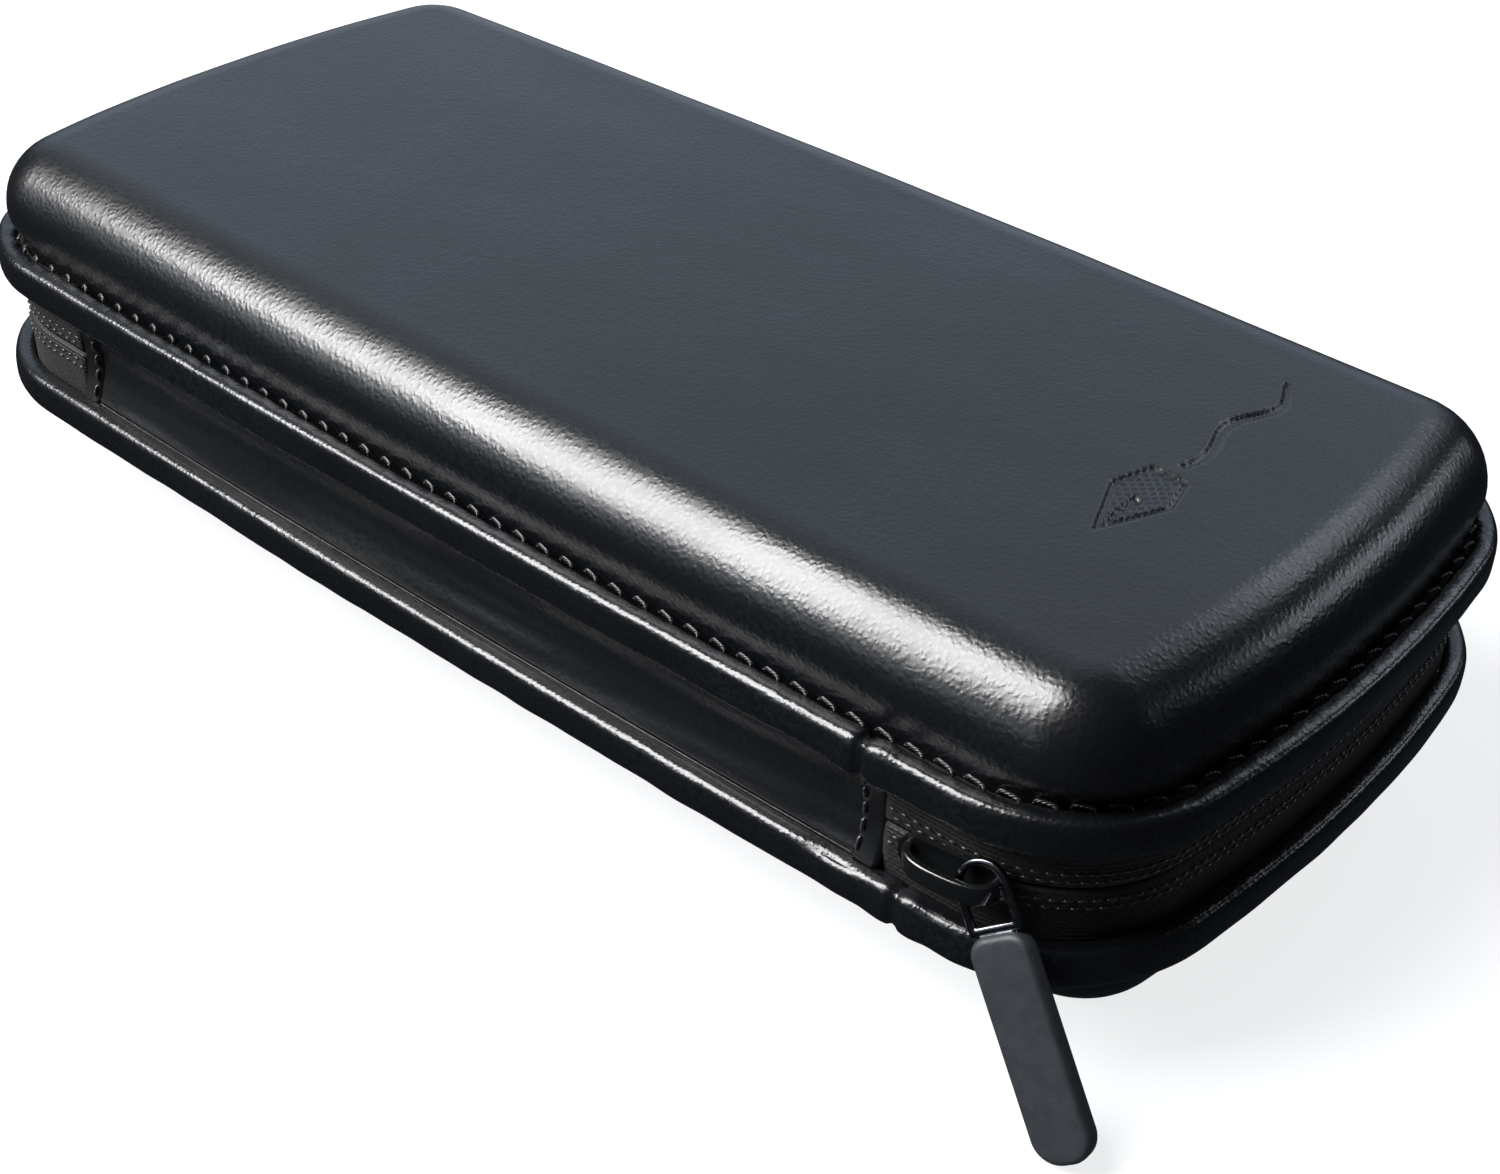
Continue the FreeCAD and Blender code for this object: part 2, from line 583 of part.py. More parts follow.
def make_pull(place):
    """Flat steel link with a tongue, and the rubber grip moulded over the tongue."""
    link = new_body("pull_link")
    sketch = new_sketch(link, "frame", 0.0, "XZ_Plane")
    add_stadium_top(sketch, dim("link_half"), dim("grip_top") - dim("grip_gap"))
    pad(link, "frame_pad", sketch, dim("link_wall"), symmetric=True)
    tongue = new_sketch(link, "tongue", 0.0, "XZ_Plane")
    half = dim("tongue_half")
    add_box(tongue, -half, half, -dim("tongue_end"), dim("tongue_root") - dim("grip_top"))
    pad(link, "tongue_pad", tongue, dim("link_wall"), symmetric=True)
    window = new_sketch(link, "window", 0.0, "XZ_Plane")
    add_stadium_top(window, dim("link_half") - dim("link_bar"), dim("link_foot"))
    pocket(link, "window_cut", window, dim("link_wall") * 3, symmetric=True)
    link.Placement = pull_placement(place)

    grip = new_body("pull_grip")
    sketch = new_sketch(grip, "plan", 0.0, "XZ_Plane")
    half = dim("grip_half")
    add_box(sketch, -half, half, -dim("grip_end"), -dim("grip_top"))
    block = pad(grip, "block", sketch, dim("grip_wall"), symmetric=True)
    doc.recompute()
    corners = ["Edge%d" % k for k, e in enumerate(block.Shape.Edges, start=1)
               if abs(e.Length - dim("grip_wall").value) < 1e-6]
    ends = grip.newObject("PartDesign::Fillet", "ends")
    ends.Base = (block, corners)
    bind(ends, "Radius", dim("grip_round"))
    doc.recompute()
    face_edges = ["Edge%d" % k for k, e in enumerate(ends.Shape.Edges, start=1)
                  if all(abs(abs(v.Point.y) - dim("grip_wall").value / 2) < 1e-6 for v in e.Vertexes)
                  and abs(abs(e.CenterOfMass.y) - dim("grip_wall").value / 2) < 1e-6]
    soft = grip.newObject("PartDesign::Fillet", "soft_edges")
    soft.Base = (ends, face_edges)
    bind(soft, "Radius", dim("grip_edge"))
    slot = new_sketch(grip, "tongue_slot", 0.0, "XZ_Plane")
    half = dim("tongue_half") + dim("fit_gap")
    add_box(slot, -half, half, -dim("tongue_end") - dim("fit_gap"), dim("tongue_root") - dim("grip_top"))
    pocket(grip, "slot", slot, dim("link_wall") + dim("fit_gap") * 2, symmetric=True)
    grip.Placement = pull_placement(place)


# ------------------------------------------------------------------ inside
def make_tray():
    """Flocked foam bed that fills the lower half up to the tray top, with a groove per pen."""
    body = new_body("pen_tray")
    _, _, hollow = layer_offsets()
    loft_dish(body, "AdditiveLoft", "bed", False, hollow + dim("tray_fit"), dim("tray_top"))
    grooves = new_sketch(body, "grooves", 0.0, "YZ_Plane")
    for k in (-1, 0, 1):
        centre = dim("groove_pitch") * k
        circle = Part.Circle(Vector(centre.value, dim("tray_top").value, 0), Vector(0, 0, 1),
                             dim("groove_radius").value)
        index = grooves.addGeometry(circle, False)
        drive(grooves, "Radius", (index,), dim("groove_radius"))
        drive(grooves, "DistanceY", (-1, 1, index, 3), dim("tray_top"))
        if k == 0:
            grooves.addConstraint(Sketcher.Constraint("PointOnObject", index, 3, -2))
        else:
            place_coordinate(grooves, "DistanceX", index, 3, centre)
    pocket(body, "groove_cut", grooves, dim("groove_length"), symmetric=True)


def make_loop(number, centre):
    """Elastic loop over one groove, with a sewn foot on each side."""
    body = new_body("pen_loop_%d" % number)
    level = dim("tray_top") + dim("fit_gap")
    inner, outer = dim("groove_radius"), dim("groove_radius") + dim("loop_wall")
    reach = outer + dim("loop_foot")
    arch = new_sketch(body, "arch", 0.0, "XZ_Plane")
    add_arch(arch, inner, outer)
    pad(body, "band", arch, dim("loop_width"), symmetric=True)
    feet = new_sketch(body, "feet", 0.0, "XZ_Plane")
    inner = inner + dim("loop_overlap")
    add_box(feet, -reach, -inner, 0.0, dim("loop_wall"))
    add_box(feet, inner, reach, 0.0, dim("loop_wall"))
    pad(body, "feet_pad", feet, dim("loop_width"), symmetric=True)
    body.Placement = Placement(Vector(0, centre.value, level.value), Rotation(Vector(0, 0, 1), 90))


def add_arch(sketch, inner, outer):
    """Half ring standing on the sketch's horizontal axis."""
    normal = Vector(0, 0, 1)
    first = sketch.addGeometry(
        Part.ArcOfCircle(Part.Circle(Vector(0, 0, 0), normal, outer.value), 0, math.pi), False)
    sketch.addGeometry(
        Part.ArcOfCircle(Part.Circle(Vector(0, 0, 0), normal, inner.value), 0, math.pi), False)
    sketch.addGeometry(Part.LineSegment(Vector(inner.value, 0, 0), Vector(outer.value, 0, 0)), False)
    sketch.addGeometry(Part.LineSegment(Vector(-outer.value, 0, 0), Vector(-inner.value, 0, 0)), False)
    for arc in (first, first + 1):
        sketch.addConstraint(Sketcher.Constraint("Coincident", arc, 3, -1, 1))
    sketch.addConstraint(Sketcher.Constraint("Coincident", first + 2, 1, first + 1, 1))
    sketch.addConstraint(Sketcher.Constraint("Coincident", first + 2, 2, first, 1))
    sketch.addConstraint(Sketcher.Constraint("Coincident", first + 3, 1, first, 2))
    sketch.addConstraint(Sketcher.Constraint("Coincident", first + 3, 2, first + 1, 2))
    sketch.addConstraint(Sketcher.Constraint("PointOnObject", first, 1, -1))
    sketch.addConstraint(Sketcher.Constraint("PointOnObject", first, 2, -1))
    sketch.addConstraint(Sketcher.Constraint("Horizontal", first + 2))
    sketch.addConstraint(Sketcher.Constraint("Horizontal", first + 3))
    drive(sketch, "Radius", (first,), outer)
    drive(sketch, "Radius", (first + 1,), inner)


def make_lid_pocket():
    """Slip pocket under the lid: a panel with three gusset walls, open towards +X."""
    body = new_body("lid_pocket")
    left, right = dim("pocket_left"), dim("pocket_right")
    half, wall = dim("pocket_half_width"), dim("pocket_wall")
    low, roof = dim("pocket_low"), dim("pocket_roof")
    solid_box(body, "panel", "XY_Plane", left, right, -half, half, low, low + wall)
    solid_box(body, "end_gusset", "XY_Plane", left, left + wall, -half, half, low, roof)
    solid_box(body, "near_gusset", "XY_Plane", left, right, -half, wall - half, low, roof)
    solid_box(body, "far_gusset", "XY_Plane", left, right, half - wall, half, low, roof)
    binding = new_body("lid_pocket_binding")
    middle = low + wall * 0.5
    reach = dim("binding_wall") * 0.5
    start = right + dim("end_gap")
    solid_box(binding, "strip", "XY_Plane", start, start + dim("binding_width"), -half, half,
              middle - reach, middle + reach)


# ------------------------------------------------------------------ build, test and write
def main():
    make_half("lower", False)
    lid = make_half("lid", True)
    press_emblem(lid)
    make_spine()
    place = slider_place()
    make_slider(place)
    make_pull(place)
    make_tray()
    for number, k in enumerate((-1, 0, 1), start=1):
        make_loop(number, dim("groove_pitch") * k)
    make_lid_pocket()
    doc.recompute()
    for item in doc.Objects:
        if "Invalid" in item.State or "Error" in item.State:
            raise RuntimeError("%s failed: %s" % (item.Label, item.State))
    pieces = [o for o in doc.Objects if o.TypeId in ("PartDesign::Body", "Part::Feature")]
    for piece in pieces:
        if piece.Shape.isNull() or not piece.Shape.isValid():
            raise RuntimeError(piece.Label + " has no valid shape")
        piece.Shape.exportStep("parts/%s.step" % piece.Label)
        print("%-22s %9.1f mm3 %3d solids" % (piece.Label, piece.Shape.Volume, len(piece.Shape.Solids)))
    print(len(pieces), "pieces")


main()
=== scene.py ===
"""Black leather zip case for fountain pens: its visible pieces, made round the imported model.

Lengths in the code are millimetres, because the patterns were cut in millimetres; meshes and
settings are in metres. +X is the end where the zip starts, -Y the leather spine, +Z up.
"""
import math

import bmesh
import bpy
import numpy as np
from mathutils import Matrix, Vector


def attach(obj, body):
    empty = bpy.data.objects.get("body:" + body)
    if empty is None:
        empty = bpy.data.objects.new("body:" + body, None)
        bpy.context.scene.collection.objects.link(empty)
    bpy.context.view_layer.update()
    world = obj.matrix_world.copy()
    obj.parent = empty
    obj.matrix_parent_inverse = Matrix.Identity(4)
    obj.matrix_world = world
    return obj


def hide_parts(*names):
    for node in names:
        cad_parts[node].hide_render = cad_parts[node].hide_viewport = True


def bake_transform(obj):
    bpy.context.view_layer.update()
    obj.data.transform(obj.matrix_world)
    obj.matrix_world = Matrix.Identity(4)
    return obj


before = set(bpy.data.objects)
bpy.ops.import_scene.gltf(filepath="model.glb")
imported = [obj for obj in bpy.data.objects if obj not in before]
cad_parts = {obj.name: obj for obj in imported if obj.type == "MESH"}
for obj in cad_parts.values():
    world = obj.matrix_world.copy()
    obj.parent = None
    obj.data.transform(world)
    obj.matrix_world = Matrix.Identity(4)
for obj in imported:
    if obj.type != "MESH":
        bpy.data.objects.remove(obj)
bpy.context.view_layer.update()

bl_info = {
    "name": "Leather pen case",
    "version": (1, 0, 0),
    "blender": (4, 5, 0),
    "location": "View3D > Sidebar > Pen case",
    "description": "Builds the leather, zip and lining of a zip-round pen case on its packed model",
    "category": "Object",
}

MM = 0.001
HEIGHT = 46.0
MIDDLE = HEIGHT / 2
RIM_LEVEL = 14.5
COVER_INSET = 1.8
FACE_CORNER = 11.0
FILLETS = {True: 9.0, False: 6.5}
BASE_INSETS = (3.4, 8.6)
LINING_OFFSET = 3.62
HOLLOW_OFFSET = 4.32
SPINE_ENDS = (-69.0, 67.0)
TRAY_TOP = 12.0
GROOVE_PITCH = 22.0
GROOVE_RADIUS = 7.0
TRAY_GAP = 0.15          # play between the tray and the lining
LOOP_HALF = 12.0         # half the width of the elastic
STITCH_PITCH = 3.7
STITCH_HALF = 1.05       # half of the thread that shows between two needle holes
STITCH_LEVEL = 12.2
RIM_RUN = 560.0          # length of the rim, for patterns laid along it
SEAM_X = {True: 65.3, False: 71.0}   # butt seam of the upper and the lower rim
SPINE_EDGE = 17.1        # level where the stiff panel starts
FOLD_EDGE = 14.2         # level where the soft fold leaves the rim
SLIDER_STATION = 3.0     # degrees round the first corner
SLIDER_YAW = 8.0
PULL_LEAN = 18.0
PULL_SWING = 34.8
PULL_PIVOT = (4.0, -1.4, 23.65)
DOT_PITCH = 1.3
STROKE_LENGTH = 24.0
PRESS_DEPTH = 0.35
HALVES = (("lid", "lid", True), ("lower", "lower_case", False))   # prefix, body, upper


# ------------------------------------------------------------------ settings
def linear(hex_colour):
    """sRGB hex value as linear red, green and blue."""
    parts = [int(hex_colour[k:k + 2], 16) / 255 for k in (1, 3, 5)]
    return tuple(c / 12.92 if c <= 0.04045 else ((c + 0.055) / 1.055) ** 2.4 for c in parts)


def length(name, description, default):
    """A size property in metres from a default in millimetres."""
    return bpy.props.FloatProperty(name=name, description=description, default=default * MM,
                                   unit="LENGTH", subtype="DISTANCE", precision=5)


def colour(name, description, hex_default):
    return bpy.props.FloatVectorProperty(name=name, description=description, size=3, min=0, max=1,
                                         default=linear(hex_default), subtype="COLOR")


class PenCaseOutline(bpy.types.PropertyGroup):
    half_length: length("Half length", "From the middle to the rim's centreline at the ends", 96.5)
    half_width: length("Half width", "From the middle to the rim's centreline at the sides", 45.2)
    corner: length("Corner radius", "Radius of the rim's centreline at the corners", 19.0)
    side_bow: length("Side bow", "Radius of the slightly bowed long sides", 3000.0)
    end_bow: length("End bow", "Radius of the slightly bowed ends", 200.0)
    emblem_x: length("Emblem place", "Distance of the pressed nib from the middle", 69.5)


class PenCaseLeather(bpy.types.PropertyGroup):
    face: colour("Leather", "Colour of the finished face", "#08090b")
    rubbed: colour("Rubbed leather", "Colour where the finish is handled most", "#111316")
    grain: length("Grain", "Distance between the pebbles of the grain", 0.62)
    relief: length("Relief", "Height of the grain", 0.03)
    softness: length("Softness", "How far the padded face wanders from true", 0.07)


class PenCaseTrim(bpy.types.PropertyGroup):
    thread: colour("Thread", "Colour of the polyester sewing thread", "#0a0a0b")
    tape: colour("Zip tape", "Colour of the woven tape", "#0b0b0c")
    lining: colour("Lining", "Colour of the knitted lining", "#1b1c1f")
    grip: colour("Grip", "Colour of the moulded rubber grip", "#22252a")
    stitch_pitch: length("Stitch pitch", "From one rim stitch to the next", STITCH_PITCH)
    coil_pitch: length("Coil pitch", "From one turn of the zip coil to the next", 1.3)


class PenCaseStage(bpy.types.PropertyGroup):
    floor: colour("Floor", "Colour of the studio floor", "#f2f3f4")
    azimuth: bpy.props.FloatProperty(name="Azimuth", description="Camera's turn round the case",
                                     default=math.radians(39.837), subtype="ANGLE")
    elevation: bpy.props.FloatProperty(name="Elevation", description="Camera's height as an angle",
                                       default=math.radians(35.407), subtype="ANGLE")
    roll: bpy.props.FloatProperty(name="Roll", description="Camera's tilt about its own axis",
                                  default=math.radians(2.434), subtype="ANGLE")
    distance: length("Distance", "From the camera to the point it looks at", 313.334)
    lens: bpy.props.FloatProperty(name="Lens", description="Focal length in millimetres",
                                  default=56.91, min=1.0)


def outline_settings():
    return bpy.context.scene.pen_case_outline


# ------------------------------------------------------------------ plan outline
def mirrored(level, upper):
    """A level of the lower half, or its twin in the lid."""
    return HEIGHT - level if upper else level


def outline_arcs(half_length, half_width, corner):
    """Eight tangent arcs, anticlockwise from the +X end: centre, radius, start and end angle."""
    size = outline_settings()
    side, end = size.side_bow / MM, size.end_bow / MM
    top, right = np.array((0, half_width - side)), np.array((half_length - end, 0))
    reach_top, reach_right = side - corner, end - corner
    gap = right - top
    span = np.linalg.norm(gap)
    along = (reach_top ** 2 - reach_right ** 2 + span ** 2) / (2 * span)
    across = math.sqrt(reach_top ** 2 - along ** 2)
    unit = gap / span
    centre = top + unit * along + np.array((unit[1], -unit[0])) * across
    low = math.atan2(centre[1] - right[1], centre[0] - right[0])
    high = math.atan2(centre[1] - top[1], centre[0] - top[0])
    flip_x, flip_y, pi = np.array((-1, 1)), np.array((1, -1)), math.pi
    return [(right, end, -low, low), (centre, corner, low, high), (top, side, high, pi - high),
            (centre * flip_x, corner, pi - high, pi - low), (-right, end, pi - low, pi + low),
            (-centre, corner, pi + low, pi + high), (-top, side, pi + high, 2 * pi - high),
            (centre * flip_y, corner, 2 * pi - high, 2 * pi - low)]


def case_arcs(end_inset, side_inset, corner):
    size = outline_settings()
    return outline_arcs(size.half_length / MM - end_inset, size.half_width / MM - side_inset,
                        corner)


def arc_counts(step):
    """Points per arc, the same for every inset, so that rings match point for point."""
    arcs = case_arcs(0.0, 0.0, outline_settings().corner / MM)
    counts = [max(4, round(radius * (stop - start) / step)) for _, radius, start, stop in arcs]
    return [n + n % 2 for n in counts]


def outline(end_inset, side_inset, corner, step):
    """Points of the plan outline moved inwards, and the outward direction at each."""
    points, outward = [], []
    for (centre, radius, start, stop), n in zip(case_arcs(end_inset, side_inset, corner),
                                                arc_counts(step)):
        angle = start + (stop - start) * np.arange(n) / n
        turn = np.stack([np.cos(angle), np.sin(angle)], 1)
        points.append(centre + radius * turn)
        outward.append(turn)
    return np.concatenate(points), np.concatenate(outward)


def rim_outline(inset, step):
    return outline(inset, inset, outline_settings().corner / MM - inset, step)


def ring_at(points, level):
    return np.column_stack([points, np.full(len(points), level)])


def fractions(points):
    """Share of the way round at each point of a closed line, from its first point."""
    steps = np.linalg.norm(np.roll(points, -1, 0) - points, axis=1)
    return np.concatenate([[0], np.cumsum(steps)[:-1]]) / steps.sum()


def run_lengths(line):
    """Distance along an open line at each of its points."""
    return np.concatenate([[0], np.cumsum(np.linalg.norm(np.diff(line, axis=0), axis=1))])


def along_run(share, distance, line):
    """Plan points at distances along a line."""
    return np.column_stack([np.interp(share, distance, line[:, k]) for k in (0, 1)])


def point_round(points, share):
    """Position and direction at a share of the way round a closed line."""
    steps = np.linalg.norm(np.roll(points, -1, 0) - points, axis=1)
    distance = np.concatenate([[0], np.cumsum(steps)])
    want = (share % 1.0) * distance[-1]
    k = int(np.searchsorted(distance, want, side="right")) - 1
    k = min(k, len(points) - 1)
    following = points[(k + 1) % len(points)]
    part = (want - distance[k]) / steps[k]
    return points[k] + (following - points[k]) * part, (following - points[k]) / steps[k]


def side_level(x, inset):
    """Y of the -Y side at stations of x, moved inwards."""
    size = outline_settings()
    bow = size.side_bow / MM
    return -(size.half_width / MM - inset - (bow - np.sqrt(bow ** 2 - x ** 2)))


# ------------------------------------------------------------------ mesh tools
def ripple(points, wave, seed, stretch=(1.0, 1.0, 1.0)):
    """Smooth uneven waves, mostly between -1 and 1, the same on every run."""
    rng = np.random.default_rng(seed)
    where = points / (np.array(stretch) * wave) * 2 * math.pi
    total = np.zeros(len(points))
    for _ in range(12):
        direction = rng.normal(size=3)
        direction *= rng.uniform(0.7, 1.3) / np.linalg.norm(direction)
        total += np.sin(where @ direction + rng.uniform(0, 2 * math.pi))
    return total / 3.6


def smooth(value, low, high):
    share = np.clip((value - low) / (high - low), 0, 1)
    return share * share * (3 - 2 * share)


def grid_faces(rows, columns, wrap_rows=False, wrap_columns=False, first=0):
    """Quads between rows of points, each row in the same order."""
    last_row = rows if wrap_rows else rows - 1
    last_column = columns if wrap_columns else columns - 1
    i, j = np.meshgrid(np.arange(last_row), np.arange(last_column), indexing="ij")
    i, j = i.ravel(), j.ravel()
    up, over = (i + 1) % rows, (j + 1) % columns
    quads = np.stack([i * columns + j, i * columns + over, up * columns + over, up * columns + j],
                     1)
    return (quads + first).tolist()


def make_piece(name, points, faces, materials, uv=None, flat=False):
    """Mesh object from points in millimetres; faces are turned outwards."""
    mesh = bpy.data.meshes.new(name)
    mesh.from_pydata((np.asarray(points) * MM).tolist(), [], faces)
    shape = bmesh.new()
    shape.from_mesh(mesh)
    bmesh.ops.recalc_face_normals(shape, faces=shape.faces)
    shape.to_mesh(mesh)
    shape.free()
    if uv is not None:
        layer = mesh.uv_layers.new(name="cut")
        corners = np.zeros(len(mesh.loops), np.int32)
        mesh.loops.foreach_get("vertex_index", corners)
        layer.data.foreach_set("uv", (np.asarray(uv)[corners] * MM).astype(np.float32).ravel())
    if not flat:
        mesh.shade_smooth()
    for material in materials:
        mesh.materials.append(material)
    mesh.update()
    piece = bpy.data.objects.new(name, mesh)
    bpy.context.scene.collection.objects.link(piece)
    return piece


def place(piece, body, slot, *nodes):
    """Set a piece on its body and hide the CAD nodes that it stands for; slot is not used."""
    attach(piece, body)
    if nodes:
        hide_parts(*nodes)
    return piece


def refinish(node, material):
    """Give a CAD node that keeps its own shape a material."""
    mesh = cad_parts[node].data
    mesh.materials.clear()
    mesh.materials.append(material)


def lift(piece, height):
    """Move each point of a piece along its normal by height(points), in millimetres."""
    mesh = piece.data
    count = len(mesh.vertices)
    points, normals = np.zeros(count * 3, np.float32), np.zeros(count * 3, np.float32)
    mesh.vertices.foreach_get("co", points)
    mesh.vertices.foreach_get("normal", normals)
    points, normals = points.reshape(-1, 3).astype(float), normals.reshape(-1, 3).astype(float)
    moved = points + normals * (height(points / MM, normals) * MM)[:, None]
    mesh.vertices.foreach_set("co", moved.astype(np.float32).ravel())
    mesh.update()


def swept_ring(sections, step):
    """Closed ring through a closed profile of (inset, level) pairs: points, faces, lengths."""
    rings = [ring_at(rim_outline(inset, step)[0], level) for inset, level in sections]
    across = run_lengths(np.array(sections))
    count = len(rings[0])
    along = fractions(rings[0][:, :2]) * RIM_RUN
    uv = np.column_stack([np.tile(along, len(rings)), np.repeat(across, count)])
    faces = grid_faces(len(rings), count, wrap_rows=True, wrap_columns=True)
    return np.concatenate(rings), faces, uv


def zip_run(inset, step, start_x, end_x):
    """Points of the outline from the spine's +X end round to its -X end."""
    points, outward = rim_outline(inset, step)
    beside = (points[:, 1] < 0) & (points[:, 0] > end_x) & (points[:, 0] < start_x)
    first = int(np.nonzero(beside)[0].max()) + 1
    order = np.roll(np.arange(len(points)), -first)
    order = order[~beside[order]]
    return points[order], outward[order]


def swept_run(sections, step, start_x, end_x):
    """Like swept_ring, but only along the zip, with both ends closed."""
    rings = [ring_at(zip_run(inset, step, start_x, end_x)[0], level) for inset, level in sections]
    across = run_lengths(np.array(sections))
    count = min(len(ring) for ring in rings)
    rings = [ring[:count] for ring in rings]
    along = run_lengths(rings[0])
    uv = np.column_stack([np.tile(along, len(rings)), np.repeat(across, count)])
    faces = grid_faces(len(rings), count, wrap_rows=True)
    faces.append([k * count for k in range(len(rings))])
    faces.append([k * count + count - 1 for k in reversed(range(len(rings)))])
    return np.concatenate(rings), faces, uv


def tube(path, radius, sides=8, closed=False):
    """Round tube along points, with closed ends unless the path is a loop."""
    path = np.asarray(path, float)
    radius = np.broadcast_to(np.asarray(radius, float), (len(path),))
    ahead = np.roll(path, -1, 0) - np.roll(path, 1, 0)
    if not closed:
        ahead[0], ahead[-1] = path[1] - path[0], path[-1] - path[-2]
    ahead /= np.linalg.norm(ahead, axis=1)[:, None]
    side = np.cross(ahead[0], (0.31, 0.17, 0.93))
    side /= np.linalg.norm(side)
    rings = []
    angles = 2 * math.pi * np.arange(sides) / sides
    for k in range(len(path)):
        side = side - ahead[k] * (side @ ahead[k])
        side /= np.linalg.norm(side)
        other = np.cross(ahead[k], side)
        turn = np.cos(angles)[:, None] * side + np.sin(angles)[:, None] * other
        rings.append(path[k] + radius[k] * turn)
    faces = grid_faces(len(path), sides, wrap_rows=closed, wrap_columns=True)
    if not closed:
        faces.append(list(range(sides))[::-1])
        faces.append([(len(path) - 1) * sides + k for k in range(sides)])
    return np.concatenate(rings), faces


def joined(parts):
    """One list of points and faces from several."""
    points, faces, count = [], [], 0
    for part_points, part_faces in parts:
        points.append(part_points)
        faces.extend([[k + count for k in face] for face in part_faces])
        count += len(part_points)
    return np.concatenate(points), faces


def twisted_stitch(start, end, arch, lift_dir, thread=0.13, plies=3, steps=12, sides=6, turns=1.7):
    """One visible stitch: plies twisted together, arched over and diving in at both ends."""
    share = np.linspace(0, 1, steps)
    run = end - start
    along = run / np.linalg.norm(run)
    across = np.cross(along, lift_dir)
    from_end = 0.5 - np.abs(share - 0.5)
    hump = (arch * (1 - np.abs(2 * share - 1) ** 3.2)
            - arch * 1.1 * np.exp(-(from_end / 0.06) ** 2))
    centre = start + share[:, None] * run + hump[:, None] * lift_dir
    parts = []
    for ply in range(plies):
        angle = 2 * math.pi * (ply / plies + turns * share)
        twist = np.cos(angle)[:, None] * across + np.sin(angle)[:, None] * lift_dir
        parts.append(tube(centre + thread * 1.08 * twist, thread, sides))
    return joined(parts)


# ------------------------------------------------------------------ materials
MULTIPLY, MULTIPLY_ADD, DIVIDE, SINE, FLOOR = (
    ("ShaderNodeMath", {"operation": name})
    for name in ("MULTIPLY", "MULTIPLY_ADD", "DIVIDE", "SINE", "FLOOR"))
EASE = ("ShaderNodeMapRange", {"interpolation_type": "SMOOTHSTEP"})
MIX = ("ShaderNodeMix", {"data_type": "RGBA"})
NOISE, BUMP, SPLIT = ((kind, None) for kind in (
    "ShaderNodeTexNoise", "ShaderNodeBump", "ShaderNodeSeparateXYZ"))


def add_node(tree, kind, settings=None, inputs=()):
    """Add a node with its settings; inputs are values, or outputs of other nodes to link."""
    node = tree.nodes.new(kind)
    for key, value in (settings or {}).items():
        setattr(node, key, value)
    for key, value in inputs.items() if isinstance(inputs, dict) else enumerate(inputs):
        if isinstance(value, bpy.types.NodeSocket):
            tree.links.new(value, node.inputs[key])
        else:
            node.inputs[key].default_value = value
    return node


def new_material(name, **shader_values):
    """Material with a Principled shader whose even values are set on its own sockets."""
    found = bpy.data.materials.get(name)
    if found:
        return found, None, None
    material = bpy.data.materials.new(name)
    material.use_nodes = True
    tree = material.node_tree
    tree.nodes.clear()
    shader = add_node(tree, "ShaderNodeBsdfPrincipled")
    for key, value in shader_values.items():
        shader.inputs[key.replace("_", " ")].default_value = value
    output = add_node(tree, "ShaderNodeOutputMaterial")
    tree.links.new(shader.outputs[0], output.inputs[0])
    return material, tree, shader


def rgba(values):
    return (values[0], values[1], values[2], 1.0)


